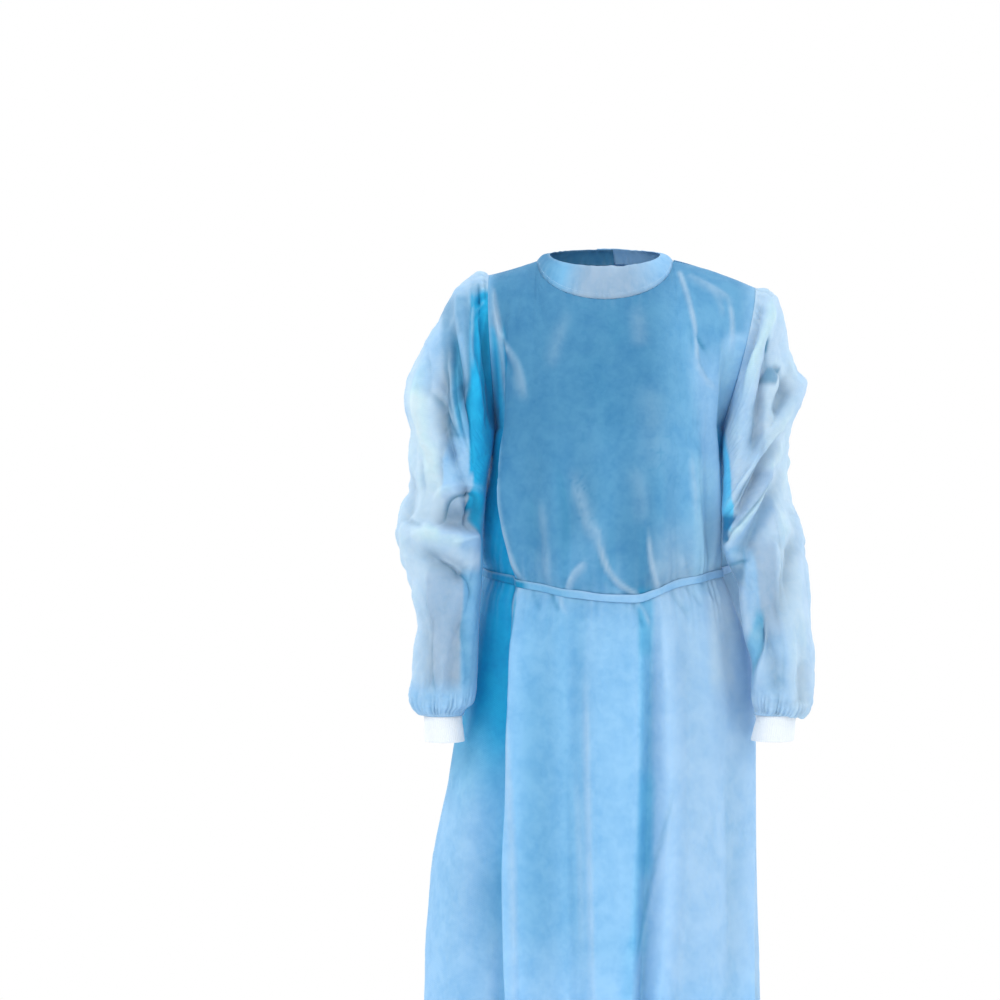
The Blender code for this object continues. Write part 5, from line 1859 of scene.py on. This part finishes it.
    def reliefs(
        self, angle: Array, share: Array, points: Array, girth: Array, length: Array
    ) -> tuple[Array, Array, Array]:
        """The sleeve's main creases, its small folds and gathers, and the shade and highlights
        painted along them.

        Args:
            angle: Turn round the sleeve.
            share: Share of its length.
            points: Its plain points.
            girth: Metres for each radian.
            length: Metres for the whole share.

        Returns:
            Main relief, small relief, and painted shade and highlights.
        """
        main = sum(self.crease(c, angle, share, girth, length) for c in SLEEVE_CREASES[self.side])
        main = main * ease(share, 0.0, 0.04) * ease(share, 0.985, 0.935)
        front = ease(np.sin(angle), -0.025, 0.225)
        small, painted_light = lay_folds(SLEEVE_FOLDS[self.side], points[..., 0], points[..., 2])
        gathers = self.gathers(angle, share)
        puff = PUFFS[self.side] * bump(share - 0.022, 0.018) * ease(np.cos(angle), 0.0, 0.5)
        tuck = self.tuck * bump(np.mod(angle, TURN) - 2.85, 0.5) * bump(share - 0.125, 0.09)
        small = small * ease(np.sin(angle), 0.15, 0.5) + self.crumples(angle, share, front)
        small = (small + gathers + puff + tuck) * ease(share, 0.0, 0.012) * ease(share, 1.0, 0.985)
        # painted shade and highlights of the folds in front, and on the gathers highlights on
        # ridges and shade in hollows
        return main, small, painted_light * front - np.clip(gathers * GATHER_PAINTED_LIGHT, -0.2, 0.12)

    def tone(self, points: Array, angle: Array, relief: Array, painted_light: Array) -> Array:
        """The sleeve's colours: patches of painted light and shade in front, then painted shade in
        hollows and highlights on ridges.

        Args:
            points: Its plain points.
            angle: Turn round the sleeve.
            relief: Its relief.
            painted_light: The shade and highlights painted along its folds.

        Returns:
            Linear colours.
        """
        plain = Tone.PALE.over(points)
        before = lay_patches(plain, SLEEVE_PATCHES[self.side], points[..., 0], points[..., 2])
        colour = mix(plain, before, ease(np.sin(angle), -0.33, 0.27)[..., None])
        return with_painted_light(np.minimum(colour * self.shading.factor(relief), self.brightest), painted_light)

    def build_sleeve(self, cloth: Material) -> Piece:
        """Makes the sleeve's cloth.

        Args:
            cloth: Its finish.

        Returns:
            The sleeve's object.
        """
        halves = ((0.0, self.front_columns), (math.pi, self.back_columns))
        turns = [np.linspace(low, low + math.pi, count, endpoint=False) for low, count in halves]
        shares = np.linspace(0.0, 1.0, self.rows + 1)
        share, angle = np.meshgrid(shares, np.concatenate(turns), indexing="ij")
        slopes = slopes_of(self.plain, angle, share, 1.0)
        girth, length = (np.linalg.norm(slope, axis=-1) for slope in slopes)
        plain, step = self.plain(angle, share), self.armhole.side
        main, small, painted_light = self.reliefs(angle, share, plain, girth, length)
        points = plain + outward(*slopes) * (step * (main + small))[..., None]
        tone = self.tone(plain, angle, main + small, painted_light)
        name = f"sleeve_{self.side}_cloth"
        grid = ClothGrid(name, points[:, ::step], tone[:, ::step], closed=True)
        made = grid.build(cloth, self.wall)
        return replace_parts(made, f"sleeve_{self.side}")

    def build_cuff(self, knit: Material) -> Piece:
        """Makes the cuff: rib knit, doubled, its two layers joined by a rolled foot and top.

        Args:
            knit: Its finish.

        Returns:
            The cuff's object.
        """
        cuff, inset = CUFFS[self.side], self.knit_wall / 2
        roll = inset / (cuff.top_z - cuff.foot_z)
        layer = np.linspace(roll, 1 - roll, self.layer_rows)
        turn = np.linspace(0.0, math.pi, 7)[1:-1]
        bow = roll * (1 - np.sin(turn))
        down = np.concatenate([layer, 1 - bow, layer[::-1], bow])[:, None]
        face = np.ones(self.layer_rows)
        out = inset * np.concatenate([face, np.cos(turn), -face, -np.cos(turn)])[:, None]
        angle = np.linspace(0.0, -TURN, self.ribs * self.rib_columns, endpoint=False)
        rib = np.abs(np.sin(angle * self.ribs / 2)) ** 0.7 - 0.6
        out = out + self.rib_height * rib * np.sign(out)
        out = out + self.uneven * np.sin(3 * angle + 5 * down)
        out = out - self.pinch * bump(down - 0.42, 0.08)
        half = mix(cuff.top_half, cuff.foot_half, down) + out
        points = np.stack(np.broadcast_arrays(
            mix(cuff.top_x, cuff.foot_x, down) + half * np.cos(angle),
            cuff.y + (cuff.depth + out) * np.sin(angle),
            mix(cuff.top_z, cuff.foot_z, down),
        ), axis=-1)
        grid = ClothGrid(f"cuff_{self.side}_knit", points, np.ones(3), closed=True, capped=True)
        made = grid.build(knit)
        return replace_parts(made, f"cuff_{self.side}")

    def build(self, cloth: Material, knit: Material) -> list[Piece]:
        """Makes the sleeve and its cuff."""
        return [self.build_sleeve(cloth), self.build_cuff(knit)]


# ------ Binding, belt, ties, knots and stitches ------
class Stop(NamedTuple):
    """A tone at a place along a strip, by degrees from the centre front."""

    degrees: float
    tone: Tone


class Tie(NamedTuple):
    """A hanging end: its node's name, its middle line's two ends and the knot that it leaves."""

    name: str
    top_x: float
    top_z: float
    foot_x: float
    foot_z: float
    knot: str


class Knot(NamedTuple):
    """A knot: its node's name, its height on the back, its sizes and its lift off the cloth."""

    name: str
    z: float
    width: float
    depth: float
    height: float
    lift: float


BINDING_STOPS = (
    Stop(-75, Tone.SLATE), Stop(-42, Tone.MID), Stop(-18, Tone.GREY), Stop(20, Tone.GREY),
    Stop(60, Tone.SKY),
)
# The belt carries the side cloth's painted shade at the side, paler towards the front
BELT_STOPS = (
    Stop(-90, Tone.CYAN), Stop(-37, Tone.TEAL), Stop(-33, Tone.MID), Stop(-17, Tone.MID),
    Stop(-4, Tone.SKY),
)
TIES = (
    Tie("belt_end_right", -0.0045, -0.4030, -0.0260, -0.655, "belt_knot"),
    Tie("belt_end_left", 0.0050, -0.4030, 0.0200, -0.615, "belt_knot"),
    Tie("neck_end_right", -0.0040, -0.0010, -0.0200, -0.160, "neck_knot"),
    Tie("neck_end_left", 0.0045, -0.0010, 0.0160, -0.140, "neck_knot"),
)
KNOTS = (
    Knot("belt_knot", -0.400, 0.0270, 0.0135, 0.0205, 0.0028),
    Knot("neck_knot", 0.0030, 0.0230, 0.0118, 0.0175, 0.0012),
)
LAYER = np.linspace(0.0, 1.0, 11)[:, None]  # rows of a strip's one layer, as shares of its width
BEND = np.linspace(0.0, math.pi, 6)[1:-1, None]  # rows round its folded edge, as turns
PROFILE = np.concatenate([LAYER, np.ones_like(BEND), LAYER[::-1]])  # rows of a folded strip


def doubled(outer: Array, inner: Array, gap: float, up: Array) -> Array:
    """A strip folded along its upper edge: an outer layer, a round fold and an inner layer.

    Args:
        outer: The lower edge of the outer layer, a row of points.
        inner: The strip's upper edge.
        gap: Distance between the two layers.
        up: Outward directions at each point.

    Returns:
        A grid with the strip's profile as rows.
    """
    layer, turn = LAYER[..., None], BEND[..., None]
    front = mix(outer, inner, layer) + up * gap / 2
    fold = inner + (unit(inner - outer) * np.sin(turn) + up * np.cos(turn)) * gap / 2
    back = mix(outer, inner, layer[::-1]) - up * gap / 2
    return np.concatenate([front, fold, back], axis=0)


def graded(stops: Sequence[Stop], degrees: Array) -> Array:
    """Colours along a strip, evenly mixed between a table's tones."""
    return read_at(degrees, [stop.degrees for stop in stops], [stop.tone.rgb for stop in stops])


@dataclass
class NeckBinding:
    """The folded strip round the neck, whose left end lies over its right end at the nape."""

    top: NeckLine = NeckLine(0.072, 0.011, (-0.060, -0.011), (0.047, 0.021))
    overlap: float = 0.14
    lift: float = 0.0026
    swell: float = 0.003
    gap: float = 0.0007
    wall: float = 0.0003
    columns: int = 360
    radius: float = 0.08  # of its mean girth

    def build(self, cloth: Material) -> list[Piece]:
        """Makes the binding's folded strip, with its puckers.

        Args:
            cloth: Its finish.

        Returns:
            Its object, in a list.
        """
        angle = np.linspace(-math.pi - self.overlap, math.pi + self.overlap, self.columns + 1)
        low, high = NECK_SEAM.points(angle), self.top.points(angle)
        up = outward(np.gradient((low + high) / 2, axis=0), high - low)
        place = angle * self.radius
        pucker = Wave(0.0006, 0.010, 0.6).along(place) * bump(PROFILE, 0.45)
        pucker = pucker + Wave(0.0005, 0.017, 2.2).along(place) * bump(PROFILE - 1, 0.3)
        waves = 0.0007 * np.sin(place * 46 + 0.7) * PROFILE * (1 - PROFILE) * 4
        passed = self.lift * ease(angle, math.pi - 0.5, math.pi - 0.2)
        points = doubled(low, high, self.gap, up) + up * (pucker + waves + passed)[..., None]
        sag = 0.0012 * bump(angle - 0.28, 0.10) - 0.0010 * bump(angle - 0.12, 0.07)
        points[..., 2] += self.swell * np.sin(math.pi * PROFILE) - sag * PROFILE
        # Painted highlights on the puckers' ridges and along both edges, painted shade in their
        # hollows, and a painted highlight near the front of the top edge
        painted_light = -60 * pucker - 0.12 * bump(PROFILE, 0.12) - 0.16 * bump(PROFILE - 1, 0.12)
        painted_light = painted_light - 0.20 * bump(angle - 0.16, 0.10) * bump(PROFILE - 0.9, 0.2)
        tone = with_painted_light(graded(BINDING_STOPS, np.degrees(angle)), painted_light)
        made = ClothGrid("neck_binding_cloth", points, tone).build(cloth, self.wall)
        return [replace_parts(made, "neck_binding")]


@dataclass
class Belt:
    """The belt: a narrow folded strip round the waist over all the panels."""

    body: GownBody
    width: float = 0.0092
    lift: float = 0.0016
    gap: float = 0.0007
    wall: float = 0.0003
    columns: int = 400
    radius: float = 0.15  # of its mean girth

    def line(self, angle: Array, offset: float) -> Array:
        """A line of the belt at a height off its middle, lifted off the cloth."""
        level = self.body.level_of(np.full_like(angle, BELT_Z + offset))
        return self.body.sheet(angle, level, self.lift + self.body.overlap_lift(angle))

    def build(self, cloth: Material) -> list[Piece]:
        """Makes the strip, pinched and puckered a little along its way.

        Args:
            cloth: Its finish.

        Returns:
            Its object, in a list.
        """
        angle = np.linspace(-math.pi / 2, 1.5 * math.pi, self.columns, endpoint=False) + NUDGE
        place = angle * self.radius
        edges = [self.line(angle, offset) for offset in (-self.width / 2, self.width / 2)]
        middle = (edges[0] + edges[1]) / 2
        pinch = 0.95 - Wave(0.05, 0.085, 0.9).along(place)[:, None]
        low, high = (mix(middle, edge, pinch) for edge in edges)
        up = outward(loop_steps(middle), high - low)
        pucker = Wave(0.00035, 0.0092, 1.4).along(place) * np.sin(math.pi * PROFILE)
        points = doubled(low, high, self.gap, up) + up * pucker[..., None]
        # Painted highlights on the puckers' ridges and along the folded top edge, painted shade in
        # the puckers' hollows
        painted_light = -GATHER_PAINTED_LIGHT * pucker - 0.30 * bump(PROFILE - 1, 0.22)
        tone = with_painted_light(graded(BELT_STOPS, np.degrees(angle)), painted_light)
        made = ClothGrid("belt_strip", points, tone, closed=True).build(cloth, self.wall)
        return [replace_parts(made, "belt")]


@dataclass
class BackTies:
    """The two knots at the back and the four ends that hang from them."""

    body: GownBody
    width: float = 0.012
    lift: float = 0.0036
    gap: float = 0.0009
    wall: float = 0.00035
    spare: float = 0.0004  # how far an end clears the highest of the cloth below it
    end_rows: int = 70
    tip_rows: int = 8
    tip_slant: float = 0.006
    curl: float = 0.30  # of an end about its own line, in radians
    sway: float = 0.0035
    strand: tuple = (0.0036, 0.0019)  # half width and half thickness of a knot's strip
    knot_inset: tuple = (0.0030, 0.0022, 0.0020)  # from a knot's sizes to its strip's middle

    def back_point(self, x: Array, z: Array, lift: float) -> Array:
        """Points over the middle of the back, lifted off the outer panel.

        Args:
            x: Places across.
            z: Heights.
            lift: How far off the cloth.

        Returns:
            The points, found by turning x and z into the sheet's angle and level.
        """
        body = self.body
        x, z = np.broadcast_arrays(np.asarray(x, float), np.asarray(z, float))
        half = np.where(x < 0, column_of(RINGS, "right", z), column_of(RINGS, "left", z))
        low = math.pi - np.arcsin(power(x / half, body.roundness / 2))
        high = math.pi - x / NECK_SEAM.half_width * body.neck_share * math.pi / 2
        rise = np.linspace(0.0, 1.0, 200)
        column = body.plain(math.pi, UNDERARM + rise)[:, 2]
        above = z > UNDERARM_Z
        level = np.where(above, UNDERARM + np.interp(z, column, rise), body.level_of(z))
        angle = np.where(above, mix(high, low, TOP - level), low)
        return body.sheet(angle, level, body.over + lift)

    def build_end(self, tie: Tie, cloth: Material) -> Piece:
        """Makes one hanging end: a folded strip with a gentle curl and a slanted tip.

        Args:
            tie: The end's row.
            cloth: Its finish.

        Returns:
            The end's object.
        """
        down = np.linspace(0.0, 1.0, self.end_rows)
        sway = self.sway * np.sin(down * 5.3 + tie.foot_z * 9) * down
        x, z = mix(tie.top_x, tie.foot_x, down) + sway, mix(tie.top_z, tie.foot_z, down)
        half = self.width / 2 * mix(0.55, 1.0, ease(down, 0.0, 0.10))
        across = [self.back_point(x + step * half, z, self.lift) for step in (-1, 0, 1)]
        middle = across[1]
        middle[:, 1] = np.max([points[:, 1] for points in across], axis=0) + self.spare
        along, up, side = frames_of(np.gradient(middle, axis=0), BACKWARDS)
        twist = self.curl * (np.sin(down * 7.1 + tie.foot_x * 300) * down)[:, None]
        across = side * np.sign(side[:, :1]) * np.cos(twist) + up * np.abs(np.sin(twist))
        low, high = middle - across * half[:, None], middle + across * half[:, None]
        slant = np.linspace(0.0, self.tip_slant, self.tip_rows)[:, None]
        high[-self.tip_rows:] += along[-self.tip_rows:] * slant
        pucker = Wave(0.0004, 0.013, tie.foot_x * 100).along(down * 0.2) * np.sin(math.pi * PROFILE)
        points = doubled(low, high, self.gap, up) + up * pucker[..., None]
        # Painted highlights on the puckers' ridges, painted shade in their hollows, all a little
        # paler than the sky tone
        tone = with_painted_light(Tone.SKY.over(points), -80 * pucker - 0.10)
        made = ClothGrid(f"{tie.name}_strip", points, tone).build(cloth, self.wall)
        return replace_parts(made, tie.name)

    def build_knot(self, knot: Knot, cloth: Material) -> Piece:
        """Makes one knot: a flat strip led along a trefoil, pulled small.

        The strip's middle runs through (sin t + 2 sin 2t, cos t - 2 cos 2t, -sin 3t), scaled to
        the knot's width, height and depth.

        Args:
            knot: The knot's row.
            cloth: Its finish.

        Returns:
            The knot's object.
        """
        centre = self.back_point(0.0, knot.z, knot.lift + knot.depth / 2)
        t = np.linspace(0.0, TURN, 200, endpoint=False)
        trefoil = ((np.sin(t) + 2 * np.sin(2 * t)) / 3, -np.sin(3 * t),
                   (np.cos(t) - 2 * np.cos(2 * t)) / 3)
        sizes = np.array([knot.width, knot.depth, knot.height]) / 2 - self.knot_inset
        path = np.stack(trefoil, axis=-1) * sizes
        facing = path * [0.4, 1.0, 0.4] + BACKWARDS * 0.0015
        _, up, side = frames_of(loop_steps(path), facing)
        turn = np.linspace(0.0, TURN, 20, endpoint=False)[:, None]
        crease = 1 + 0.10 * np.sin(5 * turn + 3 * t)
        wide, thick = (
            (power(wave, 0.8) * size * crease)[..., None]
            for wave, size in zip((np.cos(turn), np.sin(turn)), self.strand)
        )
        points = centre + path + side * wide + up * thick
        # Painted shade and highlights in bands round the strand, shifting as it winds
        painted_light = 0.16 * (1 - np.sin(turn * 2 + t) ** 2) - 0.1
        tone = with_painted_light(Tone.SKY.over(points), painted_light)
        made = ClothGrid(f"{knot.name}_strip", points, tone, closed=True, capped=True).build(cloth)
        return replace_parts(made, knot.name)

    def build(self, cloth: Material) -> list[Piece]:
        """Makes the knots, then the ends that hang from them."""
        knots = {knot.name: self.build_knot(knot, cloth) for knot in KNOTS}
        return [*knots.values(), *(self.build_end(tie, cloth) for tie in TIES)]


@dataclass
class Seams:
    """What is sewn: overlocked seam allowances inside, and rows of stitches on the trims."""

    body: GownBody
    binding: NeckBinding
    sleeves: tuple
    bead: float = 0.0008  # half thickness of an overlocked edge
    bead_sides: int = 8
    bead_step: float = 0.0020
    pitch: float = 0.0030
    stitch: float = 0.0022
    thread: float = 0.00022
    binding_row: float = 0.13  # where the binding's stitches lie, as a share of its width
    cuff_row: float = 0.992  # where a sleeve's stitches lie, as a share of its length

    def bead_along(self, name: str, path: Array, out: Array, cloth: Material) -> Piece:
        """An overlocked edge: a tube along a path, its thread wound round it as a fine helix.

        Args:
            name: The piece's name.
            path: The seam's line.
            out: Outward directions along it.
            cloth: Its finish.

        Returns:
            The piece.
        """
        run = lengths_of(path)
        count = int(run[-1] / self.bead_step) + 1
        spaced = read_at(np.linspace(0.0, run[-1], count), run, path)
        normal = read_at(np.linspace(0.0, 1.0, count), np.linspace(0.0, 1.0, len(out)), out)
        _, up, side = frames_of(np.gradient(spaced, axis=0), normal)
        turn = (np.arange(self.bead_sides)[::-1] * TURN / self.bead_sides)[:, None, None]
        radius = self.bead * (1 + 0.22 * np.sin(turn + np.arange(count)[:, None] * math.pi / 2))
        points = spaced + (side * np.cos(turn) * 1.3 + up * np.sin(turn) * 0.8) * radius
        made = ClothGrid(name, points, Tone.PALE.over(points), capped=True).build(cloth)
        return made

    def seam_lines(self) -> dict[str, tuple[Array, Array]]:
        """The seams' lines, a little inside the cloth, and their outward directions.

        Returns:
            The two of them, by the name of the seam.
        """
        lines: dict[str, tuple[Array, Array]] = {}
        levels = np.linspace(FOOT, UNDERARM, 1200)
        for name, angle in (("side_seam_right", -math.pi / 2), ("side_seam_left", math.pi / 2)):
            angles = np.full_like(levels, angle)
            out = outward(*slopes_of(self.body.plain, angles, levels, TOP))
            lines[name] = (self.body.sheet(angles, levels, -self.bead * 0.9), out)
        for sleeve in self.sleeves:
            path = sleeve.armhole_ring(np.linspace(0.0, TURN, 900))
            out = unit(path - path.mean(axis=0))
            lines[f"armhole_seam_{sleeve.side}"] = (path - out * self.bead * 0.8, out)
            ends = np.linspace(1.0, self.body.neck_share, 120) * sleeve.armhole.side
            path = np.stack(self.body.top_edge(ends, np.ones_like(ends, bool)), axis=-1)
            up = np.broadcast_to(UP, path.shape)
            lines[f"shoulder_seam_{sleeve.side}"] = (path - up * self.bead * 0.9, up)
        path = NECK_SEAM.points(np.linspace(-math.pi, math.pi, 900))
        out = unit(path - path.mean(axis=0) + UP * 0.03)
        lines["neck_seam"] = (path - out * self.bead * 1.2, out)
        return lines

    def stitches_along(
        self, name: str, path: Array, out: Array, lift: float, yarn: Material
    ) -> Piece:
        """A row of stitches: short bowed threads, each sunk into the cloth at its two ends.

        Args:
            name: The piece's name.
            path: The row's line on the cloth.
            out: Outward directions along it.
            lift: How high a stitch bows.
            yarn: Its finish.

        Returns:
            The piece.
        """
        run = lengths_of(path)
        count = int(run[-1] / self.pitch)
        part = np.linspace(0.0, 1.0, 6)
        at = np.arange(count)[:, None] * self.pitch + part * self.stitch
        normal = read_at(at, run, out)
        line = read_at(at, run, path) + normal * (np.sin(math.pi * part) - 0.35)[:, None] * lift
        side = np.cross(unit(np.gradient(line, axis=1)), normal)
        turn = np.linspace(0.0, TURN, 6, endpoint=False)[:, None]
        ring = side[:, :, None] * np.cos(turn) + normal[:, :, None] * np.sin(turn)
        slim = self.thread * mix(0.55, 1.0, np.sin(math.pi * part))[:, None, None]
        points = line[:, :, None] + ring * slim
        size = len(part) * len(turn)
        caps = np.array([[0, 1, 2, 3], [0, 3, 4, 5]])
        tube = quads_of(len(part), len(turn), closed=True)[:, ::-1]
        faces = np.concatenate([tube, caps, size - len(turn) + caps[:, ::-1]])
        faces = faces + np.arange(count)[:, None, None] * size
        made = meshed(name, points, faces.reshape(-1, 4).tolist(), yarn)
        made.data.shade_smooth()
        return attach(made, ROOT)

    def build(self, cloth: Material, yarn: Material) -> list[Piece]:
        """Makes the seams' beads and the stitches of the binding and the cuffs.

        Args:
            cloth: The beads' finish.
            yarn: The stitches' finish.

        Returns:
            Their objects.
        """
        made = [self.bead_along(name, *line, cloth) for name, line in self.seam_lines().items()]
        turn = np.linspace(-math.pi + 0.05, math.pi - 0.05, 900)
        low, high = NECK_SEAM.points(turn), self.binding.top.points(turn)
        line = mix(low, high, self.binding_row)
        line[:, 2] += self.binding.swell * math.sin(math.pi * self.binding_row)
        out = outward(np.gradient(line, axis=0), high - low)
        line = line + out * self.binding.gap / 2
        made.append(self.stitches_along("binding_stitches", line, out, 0.0004, yarn))
        for sleeve in self.sleeves:
            turn = np.linspace(0.0, TURN, 500)
            line = sleeve.plain(turn, np.full_like(turn, self.cuff_row))
            out = unit(line - line.mean(axis=0))
            name = f"cuff_stitches_{sleeve.side}"
            made.append(self.stitches_along(name, line + out * 0.0003, out, 0.0005, yarn))
        return made


# ------ The studio ------
class Lamp(NamedTuple):
    """An area light: its place, its power, its size and its colour."""

    name: str
    place: tuple
    power: float
    size: float
    colour: tuple


LAMPS = (
    Lamp("key", (-1.6, -2.6, 1.5), 26.0, 1.6, (1.0, 0.99, 0.97)),
    Lamp("fill", (2.2, -2.4, 0.4), 14.0, 2.2, (0.97, 0.99, 1.0)),
    Lamp("rim right", (-2.3, 1.6, 0.6), 26.0, 1.4, (1.0, 1.0, 1.0)),
    Lamp("rim left", (2.3, 1.6, 0.4), 26.0, 1.4, (1.0, 1.0, 1.0)),
    Lamp("top", (0.0, 0.3, 2.2), 14.0, 1.8, (1.0, 1.0, 1.0)),
)


@dataclass
class Studio:
    """The pale floor, the lights and the camera."""

    floor_z: float = -1.42
    floor_radius: float = 2.1
    floor_rings: int = 24
    floor_columns: int = 96
    aim: tuple = (0.0, 0.0, -0.45)
    camera_place: tuple = (0.0, -3.2, -0.309)
    view_width: float = 1.3  # what the camera sees at the origin
    sensor: float = 36.0
    shift_x: float = -0.105
    surround: float = 1.0

    def build_floor(self) -> None:
        """Makes the floor: a flat disc whose rim is at a constant radius."""
        turn = np.linspace(0.0, TURN, self.floor_columns, endpoint=False)
        radius = np.linspace(0.02, self.floor_radius, self.floor_rings)[:, None]
        ring = (radius * np.cos(turn), radius * np.sin(turn), self.floor_z)
        quads = quads_of(self.floor_rings, self.floor_columns, closed=True)[:, ::-1]
        faces = [list(range(self.floor_columns)), *quads.tolist()]
        points = np.stack(np.broadcast_arrays(*ring), axis=-1)
        floor = meshed("floor", points, faces, FloorFinish().build())

    def build_lights(self) -> None:
        """Makes the lamps, aimed at the gown, and the white surround."""
        for lamp in LAMPS:
            light = bpy.data.lights.new(lamp.name, "AREA")
            light.energy, light.size, light.color = lamp.power, lamp.size, lamp.colour
            made = placed(lamp.name, light)
            made.location = lamp.place
            away = Vector(lamp.place) - Vector(self.aim)
            made.rotation_euler = away.to_track_quat("Z", "Y").to_euler()
        world = bpy.data.worlds.new("surround")
        bpy.context.scene.world = world
        world.use_nodes = True
        background = world.node_tree.nodes["Background"]
        background.inputs["Color"].default_value = (1.0, 1.0, 1.0, 1.0)
        background.inputs["Strength"].default_value = self.surround

    def build_camera(self) -> None:
        """Makes the camera, square on, with its width of view at the origin."""
        lens = bpy.data.cameras.new("camera")
        lens.sensor_width = self.sensor
        lens.lens = -self.camera_place[1] * self.sensor / self.view_width
        lens.shift_x = self.shift_x
        camera = placed("camera", lens)
        camera.location = self.camera_place
        camera.rotation_euler = (math.pi / 2, 0.0, 0.0)
        bpy.context.scene.camera = camera

    def build(self) -> None:
        """Makes all of it."""
        self.build_camera()
        self.build_floor()
        self.build_lights()
        bpy.context.scene.view_settings.view_transform = "Standard"


def main() -> None:
    """Builds the gown's pieces in order and reports each."""
    logging.basicConfig(level=logging.INFO, format="%(message)s")
    Studio().build()
    cloth, knit, yarn = NonwovenFinish().build(), KnitFinish().build(), ThreadFinish().build()
    body, binding = GownBody(), NeckBinding()
    sleeves = tuple(Sleeve(side, body) for side in SLEEVES)
    made = body.build(cloth)
    for sleeve in sleeves:
        made += sleeve.build(cloth, knit)
    made += binding.build(cloth) + Belt(body).build(cloth) + BackTies(body).build(cloth)
    made += Seams(body, binding, sleeves).build(cloth, yarn)
    for piece in made:
        LOG.info("%s: %d faces", piece.name, len(piece.data.polygons))
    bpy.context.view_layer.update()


if __name__ == "__main__":
    main()
